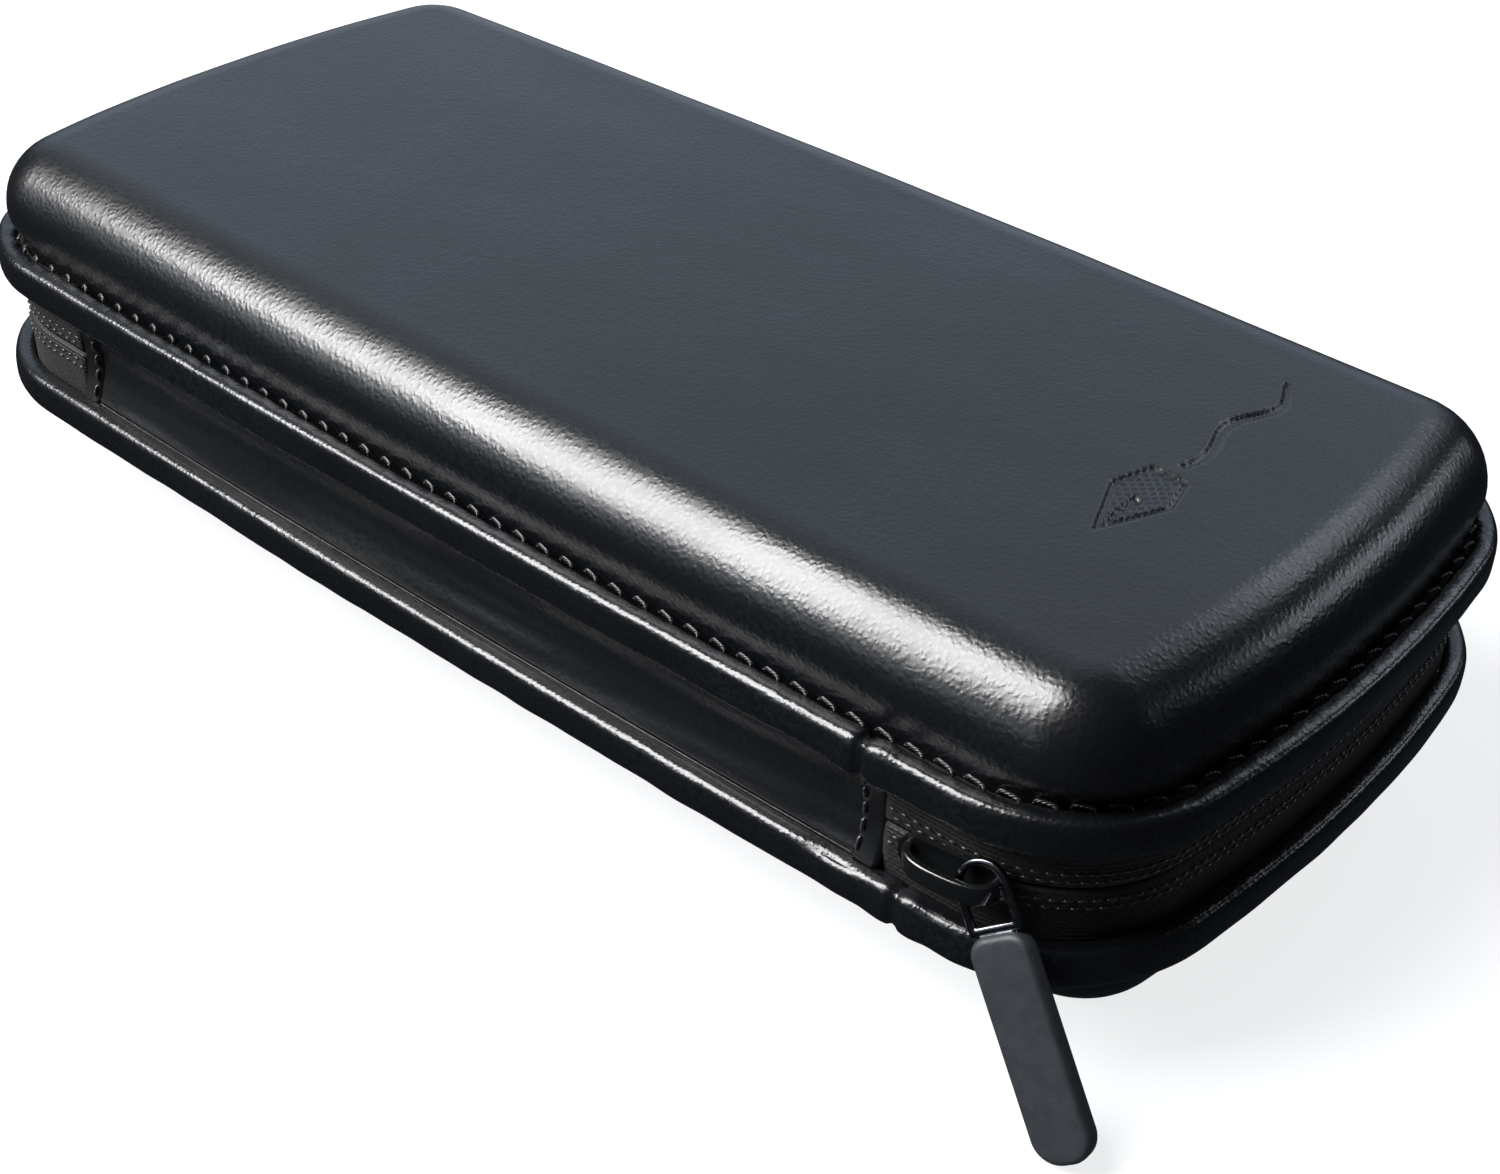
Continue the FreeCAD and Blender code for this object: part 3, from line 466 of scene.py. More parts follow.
def leather(name, grain_share=1.0, relief_share=1.0, roughness=0.27, creased=0.0):
    """Corrected-grain cowhide with a polyurethane finish, drum-dyed black and embossed.

    The finish film gives crisp highlights that the embossed pebbles break up; handling
    polishes the high spots and leaves the valleys duller.
    """
    material, tree, shader = new_material(name, IOR=1.5, Coat_Weight=0.12, Coat_Roughness=0.22)
    if tree is None:
        return material
    skin = bpy.context.scene.pen_case_leather
    place_node = add_node(tree, "ShaderNodeTexCoord").outputs["Object"]
    grain = skin.grain * grain_share
    drift = add_node(tree, *NOISE,
                     {"Vector": place_node, "Scale": 1 / (grain * 2.2), "Detail": 2.0})
    shifted = add_node(tree, "ShaderNodeVectorMath", {"operation": "MULTIPLY_ADD"},
                       {0: drift.outputs["Color"], 1: (grain * 1.3,) * 3, 2: place_node}).outputs[0]
    # pebbles about 0.6 mm apart, the distance between valleys of the embossing roll
    cells = add_node(tree, "ShaderNodeTexVoronoi", {"feature": "SMOOTH_F1"},
                     {"Vector": shifted, "Scale": 1 / grain, "Smoothness": 0.55, "Randomness": 1.0})
    pebble = add_node(tree, *EASE, (cells.outputs["Distance"], 0.05, 0.75, 1.0, 0.0)).outputs[0]
    fine = add_node(tree, *NOISE,
                    {"Vector": place_node, "Scale": 1 / (grain * 0.45), "Detail": 3.0,
                     "Roughness": 0.6})
    # folds of the hide, one every few millimetres and far shallower than the grain
    fold = add_node(tree, *NOISE,
                    {"Vector": place_node, "Scale": 1 / (grain * 4.5), "Detail": 2.0})
    folded = add_node(tree, *MULTIPLY, (fold.outputs[0], 0.9 + creased)).outputs[0]
    pored = add_node(tree, *MULTIPLY_ADD, (fine.outputs[0], 0.5, folded)).outputs[0]
    height = add_node(tree, *MULTIPLY_ADD, (pebble, 0.62, pored)).outputs[0]
    bump = add_node(tree, *BUMP,
                    {"Height": height, "Strength": 1.0, "Distance": skin.relief * relief_share})
    tree.links.new(bump.outputs[0], shader.inputs["Normal"])
    tree.links.new(bump.outputs[0], shader.inputs["Coat Normal"])
    patch = add_node(tree, *NOISE,
                     {"Vector": place_node, "Scale": 1 / 0.028, "Detail": 3.0, "Roughness": 0.55})
    rub = add_node(tree, *EASE, (patch.outputs[0], 0.38, 0.66, 0.0, 1.0)).outputs[0]
    worn = add_node(tree, *MULTIPLY, (rub, pebble)).outputs[0]
    mix = add_node(tree, *MIX, {0: worn, 6: rgba(skin.face), 7: rgba(skin.rubbed)})
    tree.links.new(mix.outputs[2], shader.inputs["Base Color"])
    dull = add_node(tree, *MULTIPLY_ADD, (pebble, -0.07, roughness + 0.05)).outputs[0]
    gloss = add_node(tree, *MULTIPLY_ADD, (rub, -0.05, dull)).outputs[0]
    tree.links.new(gloss, shader.inputs["Roughness"])
    return material


def thread_material():
    """Bonded polyester thread, black: filaments twisted hard and waxed, so each ply glints."""
    trim = bpy.context.scene.pen_case_trim
    material, tree, shader = new_material("bonded_polyester_thread", Roughness=0.26, IOR=1.58,
                                          Sheen_Weight=0.1)
    if tree is None:
        return material
    where = add_node(tree, "ShaderNodeTexCoord").outputs["Object"]
    # filaments drawn 0.1 mm apart, several times their real width, so that they show
    fibres = add_node(tree, *NOISE, {"Vector": where, "Scale": 1 / 0.0001, "Detail": 2.0})
    bump = add_node(tree, *BUMP,
                    {"Height": fibres.outputs[0], "Strength": 0.6, "Distance": 0.00002})
    tree.links.new(bump.outputs[0], shader.inputs["Normal"])
    mix = add_node(tree, *MIX,
                   {0: fibres.outputs[0], 6: rgba(trim.thread), 7: rgba(linear("#1d1e20"))})
    tree.links.new(mix.outputs[2], shader.inputs["Base Color"])
    return material


def tape_material():
    """Woven polyester zip tape: a warp rib about every 0.5 mm crossed by finer picks.

    It reads as a dull dark band with rows of fine dots where the warp floats.
    """
    trim = bpy.context.scene.pen_case_trim
    material, tree, shader = new_material("woven_polyester_tape", IOR=1.5, Sheen_Weight=0.04,
                                          Sheen_Roughness=0.4)
    if tree is None:
        return material
    cut = add_node(tree, "ShaderNodeUVMap").outputs[0]
    parts = add_node(tree, *SPLIT, {0: cut})
    # warp ribs 0.55 mm apart along the tape, and picks 0.8 mm apart, drawn a little coarse to show
    warp, weft = 0.00055, 0.0008
    turned = add_node(tree, *MULTIPLY, (parts.outputs[1], 2 * math.pi / warp)).outputs[0]
    rib = add_node(tree, *SINE, (turned,)).outputs[0]
    counted = add_node(tree, *DIVIDE, (parts.outputs[1], warp)).outputs[0]
    row = add_node(tree, *FLOOR, (counted,)).outputs[0]
    shifted = add_node(tree, *MULTIPLY_ADD, (row, weft / 2, parts.outputs[0])).outputs[0]
    turned = add_node(tree, *MULTIPLY, (shifted, 2 * math.pi / weft)).outputs[0]
    pick = add_node(tree, *SINE, (turned,)).outputs[0]
    ribs = add_node(tree, *MULTIPLY_ADD, (rib, 0.5, 0.5)).outputs[0]
    picks = add_node(tree, *MULTIPLY_ADD, (pick, 0.35, 0.65)).outputs[0]
    weave = add_node(tree, *MULTIPLY, (ribs, picks)).outputs[0]
    fuzz = add_node(tree, *NOISE,
                    {"Vector": add_node(tree, "ShaderNodeTexCoord").outputs["Object"],
                     "Scale": 1 / 0.00025, "Detail": 2.0})
    height = add_node(tree, *MULTIPLY_ADD, (fuzz.outputs[0], 0.35, weave)).outputs[0]
    bump = add_node(tree, *BUMP, {"Height": height, "Strength": 1.0, "Distance": 0.00009})
    tree.links.new(bump.outputs[0], shader.inputs["Normal"])
    # colour follows the weave's relief: darker in the hollows between ribs and picks and lighter on
    # the floats, painted shade and painted highlight
    mix = add_node(tree, *MIX,
                   {0: weave, 6: rgba(linear("#040404")), 7: rgba(trim.tape)})
    tree.links.new(mix.outputs[2], shader.inputs["Base Color"])
    dull = add_node(tree, *MULTIPLY_ADD, (weave, -0.22, 0.72)).outputs[0]
    tree.links.new(dull, shader.inputs["Roughness"])
    return material


def knit_material(name, base, pitch, relief, roughness=0.85):
    """Brushed warp-knit nylon, bonded to foam: rows of small loops under a soft nap."""
    material, tree, shader = new_material(name, IOR=1.5, Sheen_Weight=0.45, Sheen_Roughness=0.5)
    if tree is None:
        return material
    where = add_node(tree, "ShaderNodeTexCoord").outputs["Object"]
    parts = add_node(tree, *SPLIT, {0: where})
    # knit loops drawn about twice their real 0.4 mm so that the rows show
    turned = add_node(tree, *MULTIPLY, (parts.outputs[0], 2 * math.pi / pitch)).outputs[0]
    wale = add_node(tree, *SINE, (turned,)).outputs[0]
    turned = add_node(tree, *MULTIPLY, (parts.outputs[1], 2 * math.pi / (pitch * 1.3))).outputs[0]
    course = add_node(tree, *SINE, (turned,)).outputs[0]
    nap = add_node(tree, *NOISE,
                   {"Vector": where, "Scale": 1 / (pitch * 0.6), "Detail": 4.0, "Roughness": 0.65})
    loops = add_node(tree, *MULTIPLY, (wale, course)).outputs[0]
    height = add_node(tree, *MULTIPLY_ADD, (loops, 0.3, nap.outputs[0])).outputs[0]
    bump = add_node(tree, *BUMP, {"Height": height, "Strength": 1.0, "Distance": relief})
    tree.links.new(bump.outputs[0], shader.inputs["Normal"])
    # base colour darker in the hollows between the loops and under the nap, lighter on their tops:
    # painted shade and painted highlight
    painted_loop_shade = add_node(tree, *EASE, (height, 0.2, 0.9, 0.55, 1.25)).outputs[0]
    patch = add_node(tree, *NOISE, {"Vector": where, "Scale": 1 / 0.02, "Detail": 2.0})
    worn = add_node(tree, *EASE, (patch.outputs[0], 0.3, 0.7, 0.9, 1.1)).outputs[0]
    # tone is the painted loop shade times the random worn patches
    tone = add_node(tree, *MULTIPLY, (painted_loop_shade, worn)).outputs[0]
    scaled = add_node(tree, "ShaderNodeVectorMath", {"operation": "SCALE"},
                      {0: base, "Scale": tone})
    tree.links.new(scaled.outputs[0], shader.inputs["Base Color"])
    spread = 0.08
    dull = add_node(tree, *EASE,
                    (nap.outputs[0], 0.3, 0.7, roughness - spread, roughness + spread)).outputs[0]
    tree.links.new(dull, shader.inputs["Roughness"])
    return material


def plain_material(name, base, roughness, scuff=0.04, relief=0.00001, grain=0.0006, **values):
    """Moulded, cast or plated surface with faint unevenness of tone and gloss."""
    material, tree, shader = new_material(name, **values)
    if tree is None:
        return material
    where = add_node(tree, "ShaderNodeTexCoord").outputs["Object"]
    fine = add_node(tree, *NOISE, {"Vector": where, "Scale": 1 / grain, "Detail": 4.0})
    broad = add_node(tree, *NOISE, {"Vector": where, "Scale": 1 / (grain * 9), "Detail": 2.0})
    bump = add_node(tree, *BUMP, {"Height": fine.outputs[0], "Strength": 1.0, "Distance": relief})
    tree.links.new(bump.outputs[0], shader.inputs["Normal"])
    tone = add_node(tree, *EASE, (broad.outputs[0], 0.3, 0.7, 0.88, 1.14)).outputs[0]
    scaled = add_node(tree, "ShaderNodeVectorMath", {"operation": "SCALE"},
                      {0: base, "Scale": tone})
    tree.links.new(scaled.outputs[0], shader.inputs["Base Color"])
    dull = add_node(tree, *EASE,
                    (fine.outputs[0], 0.3, 0.7, roughness - scuff, roughness + scuff)).outputs[0]
    tree.links.new(dull, shader.inputs["Roughness"])
    return material


def cast_zinc():
    """Die-cast zinc slider under black stoving enamel: smooth, deep and glossy."""
    return plain_material("enamelled_zinc", linear("#0b0c0d"), 0.24, IOR=1.52, Coat_Weight=0.5,
                          Coat_Roughness=0.08)


def black_nickel():
    """Stamped steel plated with black nickel: a dark mirror that shows bright along its edges."""
    return plain_material("black_nickel_steel", linear("#6d6e72"), 0.2, Metallic=1.0)


def grip_rubber():
    """Moulded thermoplastic rubber with a fine spark-eroded surface: matt, slightly blue-grey."""
    return plain_material("moulded_rubber", bpy.context.scene.pen_case_trim.grip, 0.52, 0.06,
                          0.000025,
                          0.00022, IOR=1.5)


def flock():
    """Nylon flock on foam: short upright fibres that drink light and catch a pale edge."""
    return knit_material("nylon_flock", linear("#17181b"), 0.0005, 0.00009, 0.95)


def foam():
    """Compression-moulded EVA foam, skinned: matt with a fine pore."""
    return plain_material("moulded_eva_foam", linear("#17181a"), 0.8, 0.06, 0.00006, 0.0008,
                          IOR=1.45)


# ------------------------------------------------------------------ the moulded halves
def dish_sections(upper, offset, fine):
    """Depth, end inset, side inset and corner radius, from the open edge to the flat face."""
    corner = outline_settings().corner / MM
    fillet = FILLETS[upper] - offset
    end_inset, side_inset = (COVER_INSET, COVER_INSET) if upper else BASE_INSETS
    lip_corner = corner - COVER_INSET
    depths = [16.9, 15.6, 14.3, 13.2]
    depths += list(np.linspace(12.2, FILLETS[upper], 4 if fine else 2, endpoint=False))
    sections = []
    for depth in depths:
        share = float(smooth(np.array(depth), 12.6, FILLETS[upper]))
        sections.append((depth, COVER_INSET + (end_inset - COVER_INSET) * share + offset,
                         COVER_INSET + (side_inset - COVER_INSET) * share + offset,
                         lip_corner + (FACE_CORNER - lip_corner) * share - offset))
    count = 14 if fine else 8
    for k in range(count + 1):
        angle = math.pi / 2 * k / count
        turned = fillet * (1 - math.cos(angle))
        sections.append((offset + fillet * (1 - math.sin(angle)), end_inset + offset + turned,
                         side_inset + offset + turned, max(FACE_CORNER - offset - turned, 0.4)))
    return sections


def dish_skin(upper, offset, step, fine=True):
    """One skin of a moulded half: rings up the wall and round the fillet, then a grid face."""
    rings = []
    for depth, end_inset, side_inset, corner in dish_sections(upper, offset, fine):
        points, _ = outline(end_inset, side_inset, corner, step)
        rings.append(ring_at(points, mirrored(depth, upper)))
    points, faces = np.concatenate(rings), grid_faces(len(rings), len(rings[0]), wrap_columns=True)
    fill_points, fill_faces = grid_fill(rings[-1], len(points) - len(rings[0]), len(points), step)
    return np.concatenate([points, fill_points]), faces + fill_faces


def grid_fill(ring, ring_first, new_first, step):
    """Fill a ring with a grid whose rows run between its four corners."""
    counts = arc_counts(step)
    half_corner = counts[7] // 2
    rows, columns = counts[0] + counts[1], counts[2] + counts[1]
    total = len(ring)
    order = [(total - half_corner + k) % total for k in range(total)]
    edge = ring[order]
    low_side = np.concatenate([edge[:1], edge[:2 * rows + columns - 1:-1]])
    near_end, high_side = edge[:rows + 1], edge[rows:rows + columns + 1]
    far_end = edge[rows + columns:2 * rows + columns + 1][::-1]
    u, v = np.linspace(0, 1, columns + 1)[:, None, None], np.linspace(0, 1, rows + 1)[None, :, None]
    patch = (1 - v) * low_side[:, None] + v * high_side[:, None]
    patch = patch + (1 - u) * near_end[None] + u * far_end[None]
    patch = patch - ((1 - u) * (1 - v) * edge[0] + u * (1 - v) * low_side[-1]
                     + (1 - u) * v * edge[rows] + u * v * high_side[-1])
    index = np.zeros((columns + 1, rows + 1), int)
    index[0, :] = [order[k] + ring_first for k in range(rows + 1)]
    index[:, rows] = [order[rows + k] + ring_first for k in range(columns + 1)]
    index[columns, ::-1] = [order[rows + columns + k] + ring_first for k in range(rows + 1)]
    index[::-1, 0] = [order[(2 * rows + columns + k) % total] + ring_first
                      for k in range(columns + 1)]
    inner = patch[1:-1, 1:-1]
    numbers = np.arange(inner.shape[0] * inner.shape[1]) + new_first
    index[1:-1, 1:-1] = numbers.reshape(inner.shape[:2])
    quads = np.stack([index[:-1, :-1], index[1:, :-1], index[1:, 1:], index[:-1, 1:]], -1)
    return inner.reshape(-1, 3), quads.reshape(-1, 4).tolist()


def dish_shell(upper, offset, wall, step, fine=True):
    """Closed layer of a moulded half between two skins."""
    outer, outer_faces = dish_skin(upper, offset, step, fine)
    inner, inner_faces = dish_skin(upper, offset + wall, step, fine)
    count = sum(arc_counts(step))
    band = [[k, (k + 1) % count, len(outer) + (k + 1) % count, len(outer) + k]
            for k in range(count)]
    faces = outer_faces + [[k + len(outer) for k in face] for face in inner_faces] + band
    return np.concatenate([outer, inner]), faces


def polygon_distance(points, corners):
    """Distance from points to a closed line of corners, and whether each point is inside."""
    corners = np.asarray(corners, float)
    following = np.roll(corners, -1, 0)
    nearest = np.full(len(points), 1e9)
    inside = np.zeros(len(points), bool)
    for a, b in zip(corners, following):
        run = b - a
        share = np.clip(((points - a) @ run) / (run @ run), 0, 1)
        nearest = np.minimum(nearest, np.linalg.norm(points - a - share[:, None] * run, axis=1))
        cross = (a[1] > points[:, 1]) != (b[1] > points[:, 1])
        slope = (b[0] - a[0]) / (b[1] - a[1] if abs(b[1] - a[1]) > 1e-9 else 1e-9)
        inside ^= cross & (points[:, 0] < a[0] + (points[:, 1] - a[1]) * slope)
    return nearest, inside


def nib_corners(x, tip, half, size):
    return [(x, tip), (x + half, tip + size * 0.62), (x + half * 0.62, tip + size),
            (x - half * 0.62, tip + size), (x - half, tip + size * 0.62)]


def emblem_depth(points):
    """How deep the pressed nib and pen stroke are at points of the lid's top."""
    x = outline_settings().emblem_x / MM
    tip, half, size = -14.0, 3.9, 15.0
    flat = points[:, :2]
    edge, inside = polygon_distance(flat, nib_corners(x, tip, half, size))
    frame_line = smooth(np.where(inside, edge, -edge), -0.12, 0.12) * (1 - smooth(edge, 0.5, 0.7))
    body = np.where(inside, smooth(edge, 0.75, 1.0), 0)
    dots = sum(np.cos(2 * math.pi * (flat[:, 0] + sign * flat[:, 1]) / DOT_PITCH)
               for sign in (1, -1))
    texture = body * (0.1 + 0.06 * dots)
    slit = 1 - smooth(np.abs(flat[:, 0] - x), 0.24, 0.42)
    foot, head = (tip + 2.3, tip + 2.5), (tip + 7.4, tip + 7.6)
    slit *= smooth(flat[:, 1], *foot) * (1 - smooth(flat[:, 1], *head))
    eye = 1 - smooth(np.hypot(flat[:, 0] - x, flat[:, 1] - tip - 8.0), 0.65, 0.85)
    share = np.clip((flat[:, 1] - (tip + size + 1.8)) / STROKE_LENGTH, 0, 1)
    swing = 1.5 * np.sin(share * 3.2 * math.pi) * (0.35 + 0.65 * share)
    reach = 0.2 + 0.34 * np.sin(np.pi * np.clip(share * 1.02, 0, 1)) ** 0.6
    stroke = 1 - smooth(np.abs(flat[:, 0] - x - swing), reach, reach + 0.22)
    stroke *= (share > 0) & (share < 1)
    return PRESS_DEPTH * np.maximum.reduce([frame_line, slit, eye, stroke]) + texture


def pressed(points, normals):
    """Height of the emblem, on the flat top only."""
    on_top = points[:, 2] > HEIGHT - 0.6
    return np.where(normals[:, 2] > 0.9, -emblem_depth(points), 0.0) * on_top


def cover_relief(upper, softness):
    """Soft wandering of padded leather, and small puckers where it turns the corners."""
    def height(points, normals):
        wander = ripple(points, 46.0, 3 + upper) * 0.7 + ripple(points, 17.0, 5 + upper) * 0.3
        depth = mirrored(points[:, 2], upper)
        corner = smooth(np.abs(points[:, 0]), 74, 82) * smooth(np.abs(points[:, 1]), 24, 32)
        pucker = ripple(points, 3.4, 11, (1, 1, 3.0)) * smooth(depth, 6, 11) * corner
        crease = ripple(points, 5.5, 13, (1, 1, 2.0)) * corner * smooth(depth, 2, 6)
        return softness * wander + 0.06 * pucker + 0.05 * crease
    return height


class PENCASE_OT_lid_cover(bpy.types.Operator):
    """Moulded leather over the lid, with the pressed nib"""
    bl_idname = "pencase.lid_cover"
    bl_label = "Lid cover"

    def execute(self, context):
        skin = context.scene.pen_case_leather
        points, faces = dish_shell(True, 0.0, 0.9, 1.0)
        piece = make_piece("lid_cover_leather", points, faces, [leather("embossed_cowhide")])
        shape = bmesh.new()
        shape.from_mesh(piece.data)
        x = outline_settings().emblem_x
        # metres, a little more than the emblem on each side
        reach, front, back = 0.0062, -0.0165, 0.0285
        near = [(face, face.calc_center_median()) for face in shape.faces]
        near = [face for face, middle in near if abs(middle.x - x) < reach
                and front < middle.y < back and middle.z > (HEIGHT - 0.3) * MM]
        edges = list({e for f in near for e in f.edges})
        bmesh.ops.subdivide_edges(shape, edges=edges, cuts=3, use_grid_fill=True)
        shape.to_mesh(piece.data)
        shape.free()
        lift(piece, cover_relief(True, skin.softness / MM))
        lift(piece, pressed)
        piece.data.shade_smooth()
        place(piece, "lid", "cover_leather", "lid_cover")
        return {"FINISHED"}


class PENCASE_OT_lower_cover(bpy.types.Operator):
    """Moulded leather over the lower half, tapering to the base"""
    bl_idname = "pencase.lower_cover"
    bl_label = "Lower cover"

    def execute(self, context):
        skin = context.scene.pen_case_leather
        points, faces = dish_shell(False, 0.0, 0.9, 1.2)
        piece = make_piece("lower_cover_leather", points, faces, [leather("embossed_cowhide")])
        relief = cover_relief(False, skin.softness / MM)

        def flat_based(points, normals):
            return relief(points, normals) * smooth(points[:, 2], 0.3, 3.0)
        lift(piece, flat_based)
        place(piece, "lower_case", "cover_leather", "lower_cover")
        return {"FINISHED"}


class PENCASE_OT_shells(bpy.types.Operator):
    """Foam shells and rim cords, which only show inside the layers"""
    bl_idname = "pencase.shells"
    bl_label = "Foam shells"

    def execute(self, context):
        cord = plain_material("extruded_filler_cord", linear("#1a1a1c"), 0.6, 0.05, 0.00003, 0.0005,
                              IOR=1.5)
        for prefix in ("lower", "lid"):
            refinish(prefix + "_shell", foam())
            refinish(prefix + "_rim_cord", cord)
        return {"FINISHED"}


# ------------------------------------------------------------------ rims and their stitches
def rim_profile(upper, count=32):
    """Rolled section: nearly flat outer face, round shoulders; angle of each point too."""
    angles = 2 * math.pi * np.arange(count) / count
    power = 2 / 3.2
    across = np.sign(np.cos(angles)) * np.abs(np.cos(angles)) ** power
    upright = np.sign(np.sin(angles)) * np.abs(np.sin(angles)) ** power
    level = mirrored(RIM_LEVEL, upper)
    sections = [(-0.4 - 1.5 * a, level + 2.5 * b) for a, b in zip(across, upright)]
    return sections, angles


def seam_shift(points, seam_x):
    """Distance along the -Y side from the butt seam; far away elsewhere."""
    return np.where(points[:, 1] < -30, points[:, 0] - seam_x, 1e3)


class PENCASE_OT_rims(bpy.types.Operator):
    """Rolled leather rims of both halves, gathered at the stitches and butted at a seam"""
    bl_idname = "pencase.rims"
    bl_label = "Rolled rims"

    def execute(self, context):
        for prefix, body, upper in HALVES:
            sections, angles = rim_profile(upper)
            points, faces, uv = swept_ring(sections, 0.55)
            piece = make_piece(prefix + "_rim_roll", points, faces,
                               [leather("rim_cowhide", 0.9, 1.3, 0.25)], uv)
            round_share = np.tile(fractions(rim_outline(1.1, 0.55)[0]), len(sections))
            turned = np.repeat(angles if upper else -angles, len(points) // len(sections))
            turned = (turned + math.pi) % (2 * math.pi) - math.pi
            lift(piece, rim_relief(turned, round_share * stitch_count(), SEAM_X[upper], upper))
            place(piece, body, "rim_leather", prefix + "_rim")
        return {"FINISHED"}


def rim_relief(turned, stitch_phase, seam_x, upper):
    def height(points, normals):
        near_stitch = np.exp(-((turned - 1.9) / 0.5) ** 2)
        gather = 0.5 - 0.5 * np.cos(2 * math.pi * stitch_phase)
        wander = ripple(points, 24.0, 21 + upper) * 0.07 + ripple(points, 8.0, 23 + upper) * 0.045
        shift = seam_shift(points, seam_x)
        cut = -0.6 * np.exp(-(shift / 0.3) ** 2)
        puff = 0.2 * np.exp(-((np.abs(shift) - 1.9) / 1.3) ** 2)
        tuck = -0.55 * np.exp(-((shift + 8.5) / 3.2) ** 2) * np.exp(-((turned + 1.1) / 0.5) ** 2)
        pinch = 0.06 * ripple(points, 2.6, 27, (1, 1, 2.5)) * np.exp(-(shift / 7.0) ** 2)
        return wander - 0.1 * near_stitch * gather + cut + puff + tuck + pinch
    return height


def stitch_count():
    points, _ = rim_outline(1.1, 1.0)
    total = np.linalg.norm(np.roll(points, -1, 0) - points, axis=1).sum()
    return round(total / (bpy.context.scene.pen_case_trim.stitch_pitch / MM))


class PENCASE_OT_rim_stitches(bpy.types.Operator):
    """Twisted-thread stitches in the groove between cover and rim"""
    bl_idname = "pencase.rim_stitches"
    bl_label = "Rim stitches"

    def execute(self, context):
        count = stitch_count()
        inner, _ = rim_outline(1.5, 1.0)
        outer, _ = rim_outline(0.85, 1.0)
        for prefix, body, upper in HALVES:
            level = mirrored(STITCH_LEVEL, upper)
            up = np.array((0.0, 0.0, 1.0 if upper else -1.0))
            rng = np.random.default_rng(31 + upper)
            parts = []
            for k in range(count):
                share = (k + 0.5) / count
                half = STITCH_HALF / (count * STITCH_PITCH)
                a, _ = point_round(inner, share - half)
                b, _ = point_round(outer, share + half)
                start = np.array((a[0], a[1], level + rng.uniform(-0.08, 0.08)))
                end = np.array((b[0], b[1], level + rng.uniform(-0.08, 0.08)))
                parts.append(twisted_stitch(start, end, 0.2 + rng.uniform(-0.04, 0.04), up, 0.11,
                                            steps=12 if upper else 9, sides=6 if upper else 5,
                                            turns=1.6 + rng.uniform(-0.2, 0.2)))
            points, faces = joined(parts)
            piece = make_piece(prefix + "_rim_stitches", points, faces, [thread_material()])
            place(piece, body, "thread", prefix + "_stitches")
        return {"FINISHED"}


# ------------------------------------------------------------------ spine
def spine_surface(x, z, inset, hollow=1.4):
    """Leather between the rims, drawn in along its middle, with soft lengthwise creases."""
    sag = hollow * (1 - np.clip(np.abs(z - MIDDLE) / 5.9, 0, 1) ** 2.0)
    y = side_level(x, inset) + sag
    return np.column_stack([x, y, z])


def sheet_solid(front, back, rows, columns):
    """Closed slab from a front and a back grid of the same layout."""
    faces = grid_faces(rows, columns) + grid_faces(rows, columns, first=rows * columns)
    count = rows * columns
    border = ([k for k in range(columns)] + [r * columns + columns - 1 for r in range(1, rows)]
              + [(rows - 1) * columns + k for k in range(columns - 2, -1, -1)]
              + [r * columns for r in range(rows - 2, 0, -1)])
    for a, b in zip(border, border[1:] + border[:1]):
        faces.append([a, b, count + b, count + a])
    return np.concatenate([front, back]), faces


def spine_sheet(left, right, low, high, inset, wall, step_x=0.7, step_z=0.45, relief=None,
                hollow=1.4):
    columns = int(round((right - left) / step_x)) + 1
    rows = int(round((high - low) / step_z)) + 1
    levels, stations = np.linspace(low, high, rows), np.linspace(left, right, columns)
    z, x = [g.ravel() for g in np.meshgrid(levels, stations, indexing="ij")]
    front = spine_surface(x, z, inset, hollow)
    if relief is not None:
        front[:, 1] -= relief(front)
    back = spine_surface(x, z, inset + wall, hollow)
    points, faces = sheet_solid(front, back, rows, columns)
    along = np.column_stack([np.concatenate([x, x]), np.concatenate([z, z])])
    return points, faces, along


def spine_creases(points):
    """Handling creases that run with the spine, deeper towards its ends."""
    long_fold = ripple(points, 3.2, 41, (9.0, 1.0, 1.0)) * 0.09
    soft = ripple(points, 30.0, 43) * 0.12
    ends = smooth(np.abs(points[:, 0]), 48, 66)
    cross = ripple(points, 4.5, 45, (1.0, 1.0, 3.0)) * 0.05 * ends
    edge = smooth(np.abs(points[:, 2] - MIDDLE), 4.0, 5.8)
    return (long_fold + cross) * (1 - edge) + soft * (1 - edge)


